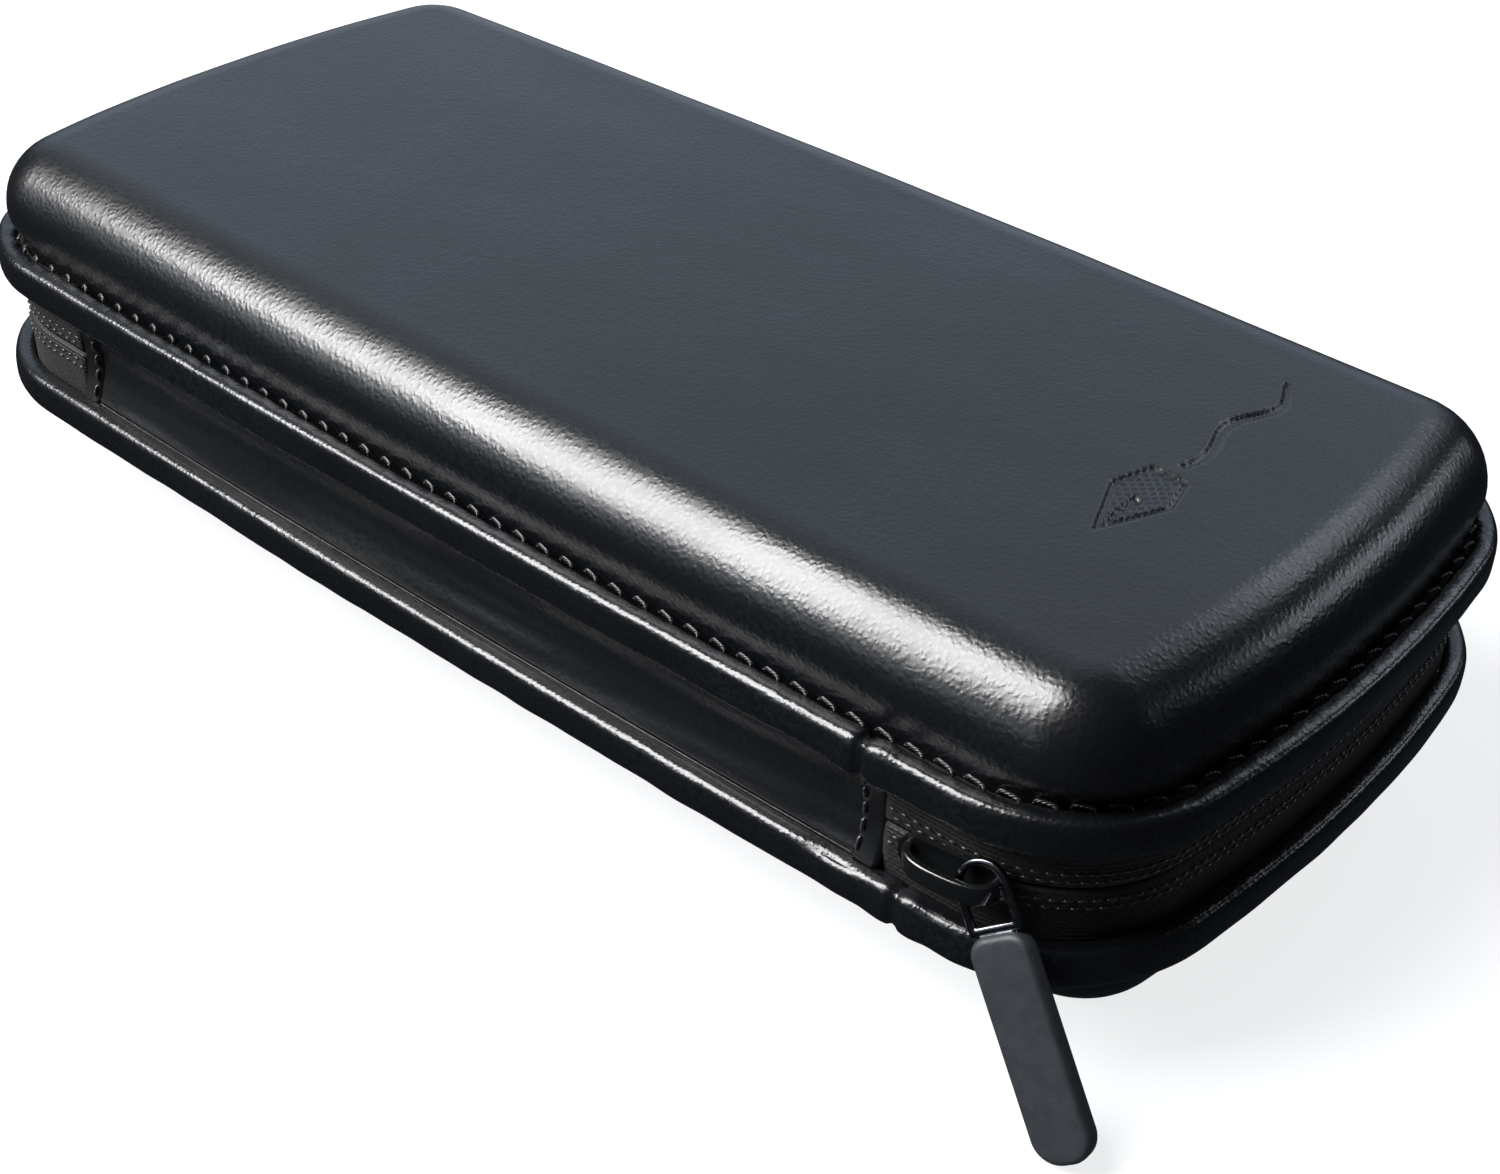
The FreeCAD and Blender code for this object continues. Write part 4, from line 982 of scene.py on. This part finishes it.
class PENCASE_OT_spine(bpy.types.Operator):
    """Leather spine with its sewn end tabs, hinge folds and lining"""
    bl_idname = "pencase.spine"
    bl_label = "Spine"

    def execute(self, context):
        left, right = SPINE_ENDS
        low, high = SPINE_EDGE, HEIGHT - SPINE_EDGE
        hide = leather("spine_cowhide", 1.1, 0.8, 0.36, creased=0.4)
        knit = knit_material("brushed_knit_lining", context.scene.pen_case_trim.lining, 0.0008,
                             0.00008)
        points, faces, uv = spine_sheet(left, right, low, high, 0.5, 0.95, relief=spine_creases)
        place(make_piece("spine_leather", points, faces, [hide], uv), "spine", "spine_leather",
              "spine_panel")
        points, faces, uv = spine_sheet(left, right, low, high, 1.5, 0.6, 2.0, 1.0)
        place(make_piece("spine_lining_knit", points, faces, [knit], uv), "spine", "lining_fabric",
              "spine_lining")
        folds = (("lower", "lower_case", "spine", FOLD_EDGE, low),
                 ("upper", "spine", "lid", high, HEIGHT - FOLD_EDGE))
        layers = (("leather", 0.5, 0.95, hide, "spine_leather"),
                  ("knit", 1.5, 0.6, knit, "lining_fabric"))
        for name, body_a, body_b, start, end in folds:
            for layer, inset, wall, material, slot in layers:
                points, faces, uv = spine_sheet(left, right, start, end, inset, wall, 1.4, 0.25)
                piece = make_piece("hinge_%s_%s" % (name, layer), points, faces, [material], uv)
                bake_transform(piece)
        self.end_tabs(left, right, low, high, hide)
        return {"FINISHED"}

    def end_tabs(self, left, right, low, high, hide):
        """Folded leather tabs that bind both ends, each held by a row of stitches."""
        for name, start, end, row in (("back", left - 0.3, left + 3.2, left + 2.6),
                                      ("front", right - 3.2, right + 0.3, right - 2.6)):
            def pillow(points, start=start, end=end):
                edge = np.minimum(points[:, 0] - start, end - points[:, 0])
                crinkle = ripple(points, 3.0, 47, (1, 1, 2))
                held = np.exp(-((points[:, 0] - row) / 0.35) ** 2)
                return 0.42 * smooth(edge, 0.0, 0.55) + 0.05 * crinkle - 0.12 * held
            points, faces, uv = spine_sheet(start, end, low, high, 0.42, 0.3, 0.22, 0.3, pillow)
            tab = make_piece("spine_tab_" + name, points, faces, [hide], uv)
            place(tab, "spine", "spine_leather", "spine_end_" + name)
            parts = []
            count = 5
            pitch = (high - low - 1.0) / count
            for k in range(count):
                middle = low + 0.5 + (k + 0.5) * pitch
                levels = [middle + side * pitch * 0.36 for side in (-1, 1)]
                ends = [spine_surface(np.array([row]), np.array([z]), 0.12)[0] for z in levels]
                parts.append(twisted_stitch(ends[0], ends[1], 0.22, np.array((0.0, -1.0, 0.0)),
                                            0.12, steps=10))
            points, faces = joined(parts)
            sewn = make_piece("spine_tab_%s_stitches" % name, points, faces, [thread_material()])
            place(sewn, "spine", "thread")


# ------------------------------------------------------------------ zip
def coil_run(upper, pitch):
    """Monofilament helix along the tape's edge, its heads reaching past the middle line."""
    line, outward = zip_run(2.55, 0.5, SPINE_ENDS[1] + 1.9, SPINE_ENDS[0] - 1.9)
    distance = run_lengths(line)
    turns = distance[-1] / pitch
    share = np.linspace(0, distance[-1], int(turns * 12))
    angle = 2 * math.pi * share / pitch + (math.pi if upper else 0.0)
    centre, away = along_run(share, distance, line), along_run(share, distance, outward)
    level = mirrored(22.0, upper) + (-1 if upper else 1) * 1.12 * np.cos(angle)
    plan = centre + away * (0.45 * np.sin(angle))[:, None]
    return tube(np.column_stack([plan, level]), 0.29, 6)


class PENCASE_OT_zip(bpy.types.Operator):
    """Woven tapes with their sewing rows, the coils and the stops"""
    bl_idname = "pencase.zip"
    bl_label = "Zip"

    def execute(self, context):
        pitch = context.scene.pen_case_trim.coil_pitch / MM
        nylon = plain_material("drawn_nylon_coil", linear("#101012"), 0.3, 0.05, 0.000004, 0.0004,
                               IOR=1.53)
        for prefix, body, upper in HALVES:
            # outer face upwards from the foot, round the rolled edge and back down inside
            shape = [(1.15, 13.0), (1.15, 15.0), (1.13, 17.0), (1.09, 19.0), (1.03, 20.4),
                     (1.01, 21.3), (1.07, 22.0), (1.2, 22.5), (1.41, 22.78), (1.6, 22.84),
                     (1.78, 22.66), (1.75, 22.3), (1.65, 21.6), (1.64, 20.0), (1.67, 17.0),
                     (1.7, 13.0)]
            sections = [(inset, mirrored(level, upper)) for inset, level in shape]
            points, faces, uv = swept_run(sections, 0.9, SPINE_ENDS[1], SPINE_ENDS[0])
            piece = make_piece(prefix + "_zip_tape_weave", points, faces, [tape_material()], uv)
            place(piece, body, "zip_tape", prefix + "_zip_tape")
            points, faces = coil_run(upper, pitch)
            piece = make_piece(prefix + "_zip_coil_turns", points, faces, [nylon])
            place(piece, body, "zip_coil", prefix + "_zip_coil")
            self.sewing_rows(prefix, body, upper)
            for end in ("front", "back"):
                refinish("%s_zip_stop_%s" % (prefix, end), black_nickel())
        return {"FINISHED"}

    def sewing_rows(self, prefix, body, upper):
        """Two rows of chain stitches through which the coil is sewn to the tape."""
        parts = []
        for row, level in enumerate((20.75, 21.75)):
            line, _ = zip_run(0.96, 0.4, SPINE_ENDS[1] - 0.5, SPINE_ENDS[0] + 0.5)
            distance = run_lengths(line)
            for start in np.arange(1.0 + 0.65 * row, distance[-1] - 1.5, 1.5):
                share = np.linspace(start, start + 1.0, 5)
                run = ring_at(along_run(share, distance, line), mirrored(level, upper))
                parts.append(tube(run, np.array((0.05, 0.15, 0.17, 0.15, 0.05)), 5))
        points, faces = joined(parts)
        place(make_piece(prefix + "_tape_sewing", points, faces, [thread_material()]), body,
              "thread")


def on_slider(points):
    """Points of the slider's own frame in the case's frame, a little way round the corner."""
    corner = outline_settings().corner / MM
    centre = case_arcs(0.0, 0.0, corner)[7][0]
    station = math.radians(SLIDER_STATION)
    origin = np.array((centre[0] + corner * math.sin(station),
                       centre[1] - corner * math.cos(station), 0.0))
    yaw = Matrix.Rotation(math.radians(SLIDER_YAW), 3, "Z")
    return points @ np.array(yaw).T + origin


def rounded_band(line, low, high, wall, soft):
    """Flat band standing on edge along a plan line, its four long edges rounded."""
    line = np.asarray(line, float)
    ahead = np.gradient(line, axis=0)
    ahead /= np.linalg.norm(ahead, axis=1)[:, None]
    across = np.column_stack([ahead[:, 1], -ahead[:, 0]])
    section = []
    for corner, (sx, sz) in enumerate(((1, 1), (-1, 1), (-1, -1), (1, -1))):
        for k in range(4):
            angle = math.pi / 2 * (corner + k / 3)
            section.append((sx * (wall / 2 - soft) + soft * math.cos(angle),
                            (low + high) / 2 + sz * ((high - low) / 2 - soft)
                            + soft * math.sin(angle)))
    rings = [np.column_stack([line + across * a, np.full(len(line), b)]) for a, b in section]
    points = np.stack(rings, 1).reshape(-1, 3)
    count = len(section)
    faces = grid_faces(len(line), count, wrap_columns=True)
    faces += [list(range(count)), [(len(line) - 1) * count + k for k in reversed(range(count))]]
    return points, faces


class PENCASE_OT_slider(bpy.types.Operator):
    """Enamelled slider: the cast body and the bow that carries the pull"""
    bl_idname = "pencase.slider"
    bl_label = "Slider"

    def execute(self, context):
        refinish("slider_body", cast_zinc())
        foot, half = -0.2, 5.05
        angle = np.linspace(0, math.pi, 33)
        power = 2 / 2.6
        bow = np.column_stack([half * np.sign(np.cos(angle)) * np.abs(np.cos(angle)) ** power,
                               foot - 2.7 * np.abs(np.sin(angle)) ** power])
        line = np.concatenate([[(half, foot + 0.2)], bow, [(-half, foot + 0.2)]])
        points, faces = rounded_band(line, 21.9, 24.3, 0.9, 0.26)
        points = on_slider(points)
        piece = make_piece("slider_bow", points, faces, [cast_zinc()])
        place(piece, "zip_slider", "slider_metal", "slider_crown")
        return {"FINISHED"}


def on_pull(points):
    """Points of the pull's own frame in the case's frame: it hangs leaning and swung on the bow."""
    lean = Matrix.Rotation(math.radians(-PULL_LEAN), 3, "X")
    swing = Matrix.Rotation(math.radians(-PULL_SWING), 3, "Y")
    return on_slider(points @ np.array(lean @ swing).T + np.array(PULL_PIVOT))


def stadium(half, foot, round_foot, steps=20):
    """Closed line with a round top about the origin and a square foot with small corners."""
    angle = np.linspace(0, math.pi, steps)
    top = np.column_stack([half * np.cos(angle), half * np.sin(angle)])
    left = [(-half + round_foot * (1 - math.cos(a)), -foot + round_foot * (1 - math.sin(a)))
            for a in np.linspace(0, math.pi / 2, 5)]
    right = [(-x, z) for x, z in left[::-1]]
    return np.concatenate([top, left, right])


class PENCASE_OT_pull(bpy.types.Operator):
    """Plated link and the rubber grip moulded on its tongue"""
    bl_idname = "pencase.pull"
    bl_label = "Zip pull"

    def execute(self, context):
        outer, middle = stadium(3.05, 4.9, 0.5), stadium(2.65, 4.4, 0.3)
        inner = stadium(2.25, 3.9, 0.25)
        outer_edge, inner_edge = middle * 0.4 + outer * 0.6, middle * 0.4 + inner * 0.6
        half = [(outer, 0.24), (outer_edge, 0.4), (inner_edge, 0.4), (inner, 0.24)]
        rings = [np.column_stack([line[:, 0], np.full(len(line), thick), line[:, 1]])
                 for line, thick in half + [(line, -thick) for line, thick in half[::-1]]]
        points = np.concatenate(rings)
        faces = grid_faces(len(rings), len(outer), wrap_rows=True, wrap_columns=True)
        tongue, tongue_faces = slab(-2.2, 2.2, -11.5, -4.6, 0.8, 0.1)
        points, faces = joined([(points, faces), (tongue, tongue_faces)])
        piece = make_piece("pull_link_frame", on_pull(points), faces, [black_nickel()])
        place(piece, "zip_pull", "link_metal", "pull_link")
        points, faces = grip_shape()
        piece = make_piece("pull_grip_rubber", on_pull(points), faces, [grip_rubber()])
        place(piece, "zip_pull", "grip_rubber", "pull_grip")
        return {"FINISHED"}


def rounded_plan(half, low, high, corner_low, corner_high, steps=9):
    """Rectangle in X and Z with round corners, anticlockwise."""
    line = []
    for cx, cz, r, first in ((half - corner_high, high - corner_high, corner_high, 0),
                             (corner_high - half, high - corner_high, corner_high, 1),
                             (corner_low - half, low + corner_low, corner_low, 2),
                             (half - corner_low, low + corner_low, corner_low, 3)):
        for k in range(steps):
            a = math.pi / 2 * (first + k / (steps - 1))
            line.append((cx + r * math.cos(a), cz + r * math.sin(a)))
    return np.array(line)


def layered(plans, levels):
    """Closed solid through plan lines at levels of Y, capped at both ends."""
    rings = [np.column_stack([plan[:, 0], np.full(len(plan), y), plan[:, 1]])
             for plan, y in zip(plans, levels)]
    count = len(plans[0])
    points = np.concatenate(rings + [rings[0].mean(0)[None], rings[-1].mean(0)[None]])
    faces = grid_faces(len(rings), count, wrap_columns=True)
    first, last = len(rings) * count, len(rings) * count + 1
    top = (len(rings) - 1) * count
    for k in range(count):
        following = (k + 1) % count
        faces += [[following, k, first], [top + k, top + following, last]]
    return points, faces


def slab(left, right, low, high, thick, soft):
    middle, half = (left + right) / 2, (right - left) / 2
    plans, levels = [], []
    for y, inwards in ((-thick / 2, soft), (-thick / 2 + soft, 0.0), (thick / 2 - soft, 0.0),
                       (thick / 2, soft)):
        plan = rounded_plan(half - inwards, low + inwards, high - inwards, 0.3, 0.3, 4)
        plans.append(plan + np.array((middle, 0.0)))
        levels.append(y)
    return layered(plans, levels)


def grip_shape():
    """Bar with round ends, soft edges and faces that crown a little."""
    plans, levels = [], []
    thick, soft, steps = 1.3, 0.75, 7
    profile = [(thick + 0.05, 2.6), (thick + 0.04, 1.9), (thick + 0.01, 1.2)]
    profile += [(thick - soft * (1 - math.cos(a)), soft * (1 - math.sin(a)))
                for a in np.linspace(0, math.pi / 2, steps)]
    profile = profile + [(-y, inwards) for y, inwards in profile[::-1]]
    for y, inwards in profile:
        plans.append(rounded_plan(3.4 - inwards, -29.0 + inwards, -4.85 - inwards,
                                  max(2.95 - inwards, 0.35), max(2.1 - inwards, 0.3), 12))
        levels.append(y)
    return layered(plans, levels)


# ------------------------------------------------------------------ inside
class PENCASE_OT_linings(bpy.types.Operator):
    """Knitted linings bonded inside both halves"""
    bl_idname = "pencase.linings"
    bl_label = "Linings"

    def execute(self, context):
        knit = knit_material("brushed_knit_lining", context.scene.pen_case_trim.lining, 0.0008,
                             0.00008)
        for prefix, body, upper in HALVES:
            points, faces = dish_shell(upper, LINING_OFFSET, 0.7, 2.0, fine=False)
            piece = make_piece(prefix + "_lining_knit", points, faces, [knit])
            lift(piece, lambda points, normals: 0.08 * ripple(points, 14.0, 61))
            place(piece, body, "lining_fabric", prefix + "_lining")
        return {"FINISHED"}


def tray_depth(points):
    """Level of the tray's top: three round grooves with soft lips and round ends."""
    x, y = points[:, 0], points[:, 1]
    level = np.full(len(points), TRAY_TOP)
    for k in (-1, 0, 1):
        off = np.abs(y - GROOVE_PITCH * k)
        over = np.clip(np.abs(x) - (80.0 - GROOVE_RADIUS), 0, None)
        reach = np.hypot(off, over)
        groove = TRAY_TOP - np.sqrt(np.clip(GROOVE_RADIUS ** 2 - reach ** 2, 0, None))
        lip = TRAY_TOP - 0.9 * (1 - smooth(reach, GROOVE_RADIUS - 0.6, GROOVE_RADIUS + 1.3)) ** 2
        level = np.minimum(level, np.minimum(groove, lip))
    return level


class PENCASE_OT_tray(bpy.types.Operator):
    """Flocked foam bed with a groove for each pen"""
    bl_idname = "pencase.tray"
    bl_label = "Pen tray"

    def execute(self, context):
        offset, step = HOLLOW_OFFSET + TRAY_GAP, 1.0
        rings = []
        for depth, end_inset, side_inset, corner in dish_sections(False, offset, False)[::-1]:
            if depth > TRAY_TOP - 0.6:
                break
            points, _ = outline(end_inset, side_inset, corner, step)
            rings.append(ring_at(points, depth))
        for down, inwards in ((0.25, 0.05), (0.08, 0.2), (0.0, 0.6)):
            points, _ = outline(end_inset + inwards, side_inset + inwards, corner - inwards, step)
            rings.append(ring_at(points, TRAY_TOP - down))
        points, faces = np.concatenate(rings), grid_faces(len(rings), len(rings[0]),
                                                          wrap_columns=True)
        first = len(points)
        bottom_points, bottom_faces = grid_fill(rings[0], 0, first, step)
        top_first = first + len(bottom_points)
        top_points, top_faces = grid_fill(rings[-1], first - len(rings[-1]), top_first, step)
        top_points[:, 2] = tray_depth(top_points)
        points = np.concatenate([points, bottom_points, top_points])
        piece = make_piece("pen_tray_flocked", points, faces + bottom_faces + top_faces, [flock()])
        place(piece, "lower_case", "tray_flock", "pen_tray")
        return {"FINISHED"}


class PENCASE_OT_loops(bpy.types.Operator):
    """Ribbed elastic loops that hold the pens down"""
    bl_idname = "pencase.loops"
    bl_label = "Pen loops"

    def execute(self, context):
        elastic = elastic_material()
        inner, seat, sewn_level = GROOVE_RADIUS, TRAY_TOP + 0.55, TRAY_TOP + 0.95
        foot = [(-inner - 2.9, seat), (-inner - 1.6, seat)]
        arch = [(-(inner + 0.45) * math.cos(a), seat + (inner + 0.35) * math.sin(a) ** 0.92)
                for a in np.linspace(0.04, math.pi - 0.04, 31)]
        line = np.array(foot + arch + [(-y, z) for y, z in foot[::-1]])
        up = np.array((0.0, 0.0, 1.0))
        for number, k in enumerate((-1, 0, 1), start=1):
            points, faces, uv = self.band(line, GROOVE_PITCH * k)
            piece = make_piece("pen_loop_%d_elastic" % number, points, faces, [elastic], uv)
            place(piece, "lower_case", "elastic", "pen_loop_%d" % number)
            parts = []
            for side in (-1, 1):
                y = GROOVE_PITCH * k + side * (inner + 2.25)
                for x in np.arange(-10.5, 10.6, 2.6):
                    a, b = np.array((x - 0.9, y, sewn_level)), np.array((x + 0.9, y, sewn_level))
                    parts.append(twisted_stitch(a, b, 0.16, up, 0.1, steps=8, sides=5))
            points, faces = joined(parts)
            sewn = make_piece("pen_loop_%d_stitches" % number, points, faces, [thread_material()])
            place(sewn, "lower_case", "thread")
        return {"FINISHED"}

    def band(self, line, centre):
        """Elastic strip across the groove, its edges rolled slightly."""
        ahead = np.gradient(line, axis=0)
        ahead /= np.linalg.norm(ahead, axis=1)[:, None]
        away = np.column_stack([-ahead[:, 1], ahead[:, 0]])
        across = np.linspace(-LOOP_HALF, LOOP_HALF, 41)
        thick = 0.42 - 0.14 * smooth(np.abs(across), LOOP_HALF - 1.4, LOOP_HALF)
        front, back = [np.concatenate([np.column_stack([across, centre + y + side * dy * thick,
                                                        z + side * dz * thick])
                                       for (y, z), (dy, dz) in zip(line, away)])
                       for side in (1, -1)]
        uv = np.column_stack([np.tile(across, len(line)),
                              np.repeat(run_lengths(line), len(across))])
        points, faces = sheet_solid(front, back, len(line), len(across))
        return points, faces, np.concatenate([uv, uv])


def elastic_material():
    """Woven elastic webbing: covered rubber cords side by side make ribs 1 mm apart."""
    material, tree, shader = new_material("woven_elastic", IOR=1.5, Sheen_Weight=0.2,
                                          Sheen_Roughness=0.4)
    if tree is None:
        return material
    parts = add_node(tree, *SPLIT, {0: add_node(tree, "ShaderNodeUVMap").outputs[0]})
    turned = add_node(tree, *MULTIPLY, (parts.outputs[0], 2 * math.pi / 0.001)).outputs[0]
    rib = add_node(tree, *SINE, (turned,)).outputs[0]
    turned = add_node(tree, *MULTIPLY, (parts.outputs[1], 2 * math.pi / 0.0006)).outputs[0]
    cross = add_node(tree, *SINE, (turned,)).outputs[0]
    crossed = add_node(tree, *MULTIPLY_ADD, (cross, 0.12, 0.5)).outputs[0]
    weave = add_node(tree, *MULTIPLY_ADD, (rib, 0.4, crossed)).outputs[0]
    bump = add_node(tree, *BUMP, {"Height": weave, "Strength": 1.0, "Distance": 0.00016})
    tree.links.new(bump.outputs[0], shader.inputs["Normal"])
    # colour follows the rib relief: darker between the cords and lighter on their crests, painted
    # shade and painted highlight
    mix = add_node(tree, *MIX,
                   {0: weave, 6: rgba(linear("#08080a")), 7: rgba(linear("#222327"))})
    tree.links.new(mix.outputs[2], shader.inputs["Base Color"])
    dull = add_node(tree, *MULTIPLY_ADD, (weave, -0.15, 0.75)).outputs[0]
    tree.links.new(dull, shader.inputs["Roughness"])
    return material


class PENCASE_OT_lid_pocket(bpy.types.Operator):
    """Slip pocket under the lid with its bound mouth"""
    bl_idname = "pencase.lid_pocket"
    bl_label = "Lid pocket"

    def execute(self, context):
        left, right, half, low, roof = -80.0, 62.0, 31.0, 35.2, 41.55
        columns, thick = 96, 0.55
        wall = [(-half, roof)]
        wall += [(-half + 0.02 * k, z) for k, z in enumerate(np.linspace(roof - 0.6, low + 1.8, 5))]
        turn = [(-half + 1.6 * (1 - math.cos(a)) + 0.1, low + 1.6 * (1 - math.sin(a)) + 0.1)
                for a in np.linspace(0.2, math.pi / 2, 6)]
        flat_part = [(y, low) for y in np.linspace(-half + 2.6, 0, 19)]
        profile = np.array(wall + turn + flat_part)
        profile = np.concatenate([profile, (profile * np.array((-1, 1)))[-2::-1]])
        front = []
        for station in np.linspace(left, right, columns):
            closing = smooth(np.array(station), left, left + 2.2)
            level = roof + (profile[:, 1] - roof) * closing
            soft = 0.35 * np.cos(profile[:, 0] / half * math.pi / 2) * closing
            front.append(np.column_stack([np.full(len(profile), station), profile[:, 0],
                                          level + soft]))
        front = np.concatenate(front)
        front[:, 2] += 0.08 * ripple(front, 22.0, 71) * smooth(front[:, 0], left, left + 12)
        on_wall = np.abs(front[:, 1]) > half - 1.2
        inwards = np.column_stack([np.zeros(len(front)), -np.sign(front[:, 1]) * thick * on_wall,
                                   thick * ~on_wall])
        back = front + inwards
        points, faces = sheet_solid(front, back, columns, len(profile))
        mesh = knit_material("knitted_pocket_mesh", linear("#202126"), 0.0012, 0.00016, 0.7)
        piece = make_piece("lid_pocket_panel", points, faces, [mesh])
        place(piece, "lid", "pocket_fabric", "lid_pocket")
        mouth = [(right + 0.2, y, low + 0.35 + 0.35 * math.cos(y / half * math.pi / 2))
                 for y in np.linspace(-half, half, 61)]
        points, faces = tube(mouth, 1.0, 10)
        points[:, 0] = right + 1.05 + (points[:, 0] - right - 0.2)
        points[:, 2] = low + 0.4 + (points[:, 2] - low - 0.4) * 0.85
        piece = make_piece("lid_pocket_bound_edge", points, faces, [elastic_material()])
        place(piece, "lid", "pocket_fabric", "lid_pocket_binding")
        return {"FINISHED"}


# ------------------------------------------------------------------ stage
def soft_box(name, direction, distance, width, height, radiance, tint):
    """Rectangular studio light that faces the case."""
    data = bpy.data.lights.new(name, "AREA")
    data.shape = "RECTANGLE"
    data.size, data.size_y = width, height
    data.energy = radiance * math.pi * width * height
    data.color = linear(tint)
    lamp = bpy.data.objects.new(name, data)
    aim = Vector(direction).normalized()
    lamp.location = aim * distance + Vector((0.0, 0.0, 0.03))
    lamp.rotation_euler = aim.to_track_quat("Z", "Y").to_euler()
    bpy.context.scene.collection.objects.link(lamp)


class PENCASE_OT_stage(bpy.types.Operator):
    """Pale floor, studio lights and the camera"""
    bl_idname = "pencase.stage"
    bl_label = "Stage"

    def execute(self, context):
        stage = context.scene.pen_case_stage
        scene = context.scene
        scene.view_settings.view_transform = "Standard"
        reach = 3.0
        mesh = bpy.data.meshes.new("studio_floor")
        mesh.from_pydata([(-reach, -reach, 0), (reach, -reach, 0), (reach, reach, 0),
                          (-reach, reach, 0)],
                         [], [(0, 1, 2, 3)])
        floor = bpy.data.objects.new("studio_floor", mesh)
        floor.location.z = -0.0002
        scene.collection.objects.link(floor)
        floor.visible_glossy = False
        material, _, shader = new_material("matt_floor", Roughness=0.9)
        shader.inputs["Base Color"].default_value = rgba([0.25 * c for c in stage.floor])
        shader.inputs["Specular IOR Level"].default_value = 0.1
        shader.inputs["Emission Color"].default_value = rgba(stage.floor)
        shader.inputs["Emission Strength"].default_value = 0.9
        mesh.materials.append(material)
        self.sky(scene)
        soft_box("overhead_softbox", (-0.46, -0.50, 0.73), 0.9, 0.50, 0.80, 21.0, "#ffffff")
        soft_box("front_left_strip", (-0.50, -0.83, 0.24), 1.2, 1.1, 0.3, 1.1, "#e6eefa")
        soft_box("back_panel_high", (0.11, 0.76, 0.66), 1.0, 0.45, 0.14, 4.0, "#e4ecf6")
        soft_box("back_panel_low", (0.57, 0.76, 0.33), 1.0, 0.45, 0.12, 4.5, "#e4ecf6")
        self.camera(scene, stage)
        return {"FINISHED"}

    def sky(self, scene):
        """Studio surround: pale behind the case, dark on the camera's side."""
        world = bpy.data.worlds.new("studio")
        scene.world = world
        world.use_nodes = True
        tree = world.node_tree
        tree.nodes.clear()
        way = add_node(tree, "ShaderNodeTexCoord").outputs["Generated"]
        back = add_node(tree, "ShaderNodeVectorMath", {"operation": "DOT_PRODUCT"},
                        {0: way, 1: (-0.58, 0.66, 0.48)}).outputs["Value"]
        share = add_node(tree, *EASE, (back, 0.70, 0.95, 0.025, 0.76)).outputs[0]
        light = add_node(tree, "ShaderNodeBackground", None,
                         {"Color": rgba(linear("#dcebff")), "Strength": share})
        output = add_node(tree, "ShaderNodeOutputWorld")
        tree.links.new(light.outputs[0], output.inputs[0])

    def camera(self, scene, stage):
        azimuth, elevation, roll = stage.azimuth, stage.elevation, stage.roll
        back = Vector((math.sin(azimuth) * math.cos(elevation),
                       -math.cos(azimuth) * math.cos(elevation),
                       math.sin(elevation)))
        right = Vector((math.cos(azimuth), math.sin(azimuth), 0))
        up = back.cross(right)
        turned_right = right * math.cos(roll) + up * math.sin(roll)
        turned_up = up * math.cos(roll) - right * math.sin(roll)
        data = bpy.data.cameras.new("case_camera")
        data.lens, data.sensor_width = stage.lens, 36.0
        data.clip_start = 0.01
        camera = bpy.data.objects.new("case_camera", data)
        target = Vector((10.697, 1.138, 1.732)) * MM
        axes = Matrix((turned_right, turned_up, back)).transposed().to_4x4()
        camera.matrix_world = Matrix.Translation(target + back * stage.distance) @ axes
        scene.collection.objects.link(camera)
        scene.camera = camera


# ------------------------------------------------------------------ sidebar and registration
STEPS = ("stage", "lid_cover", "lower_cover", "shells", "rims", "rim_stitches", "spine", "zip",
         "slider",
         "pull", "linings", "tray", "loops", "lid_pocket")


class PENCASE_PT_steps(bpy.types.Panel):
    """The making steps in their order"""
    bl_idname = "PENCASE_PT_steps"
    bl_label = "Pen case"
    bl_space_type = "VIEW_3D"
    bl_region_type = "UI"
    bl_category = "Pen case"

    def draw(self, context):
        column = self.layout.column(align=True)
        for step in STEPS:
            column.operator("pencase." + step)


GROUPS = {"pen_case_outline": PenCaseOutline, "pen_case_leather": PenCaseLeather,
          "pen_case_trim": PenCaseTrim, "pen_case_stage": PenCaseStage}
CLASSES = (PENCASE_OT_stage, PENCASE_OT_lid_cover, PENCASE_OT_lower_cover, PENCASE_OT_shells,
           PENCASE_OT_rims,
           PENCASE_OT_rim_stitches, PENCASE_OT_spine, PENCASE_OT_zip, PENCASE_OT_slider,
           PENCASE_OT_pull,
           PENCASE_OT_linings, PENCASE_OT_tray, PENCASE_OT_loops, PENCASE_OT_lid_pocket,
           PENCASE_PT_steps)


def register():
    for name, group in GROUPS.items():
        bpy.utils.register_class(group)
        setattr(bpy.types.Scene, name, bpy.props.PointerProperty(type=group))
    for item in CLASSES:
        bpy.utils.register_class(item)


def unregister():
    for item in reversed(CLASSES):
        bpy.utils.unregister_class(item)
    for name, group in reversed(GROUPS.items()):
        delattr(bpy.types.Scene, name)
        bpy.utils.unregister_class(group)


def main():
    register()
    for step in STEPS:
        getattr(bpy.ops.pencase, step)()


if __name__ == "__main__":
    main()
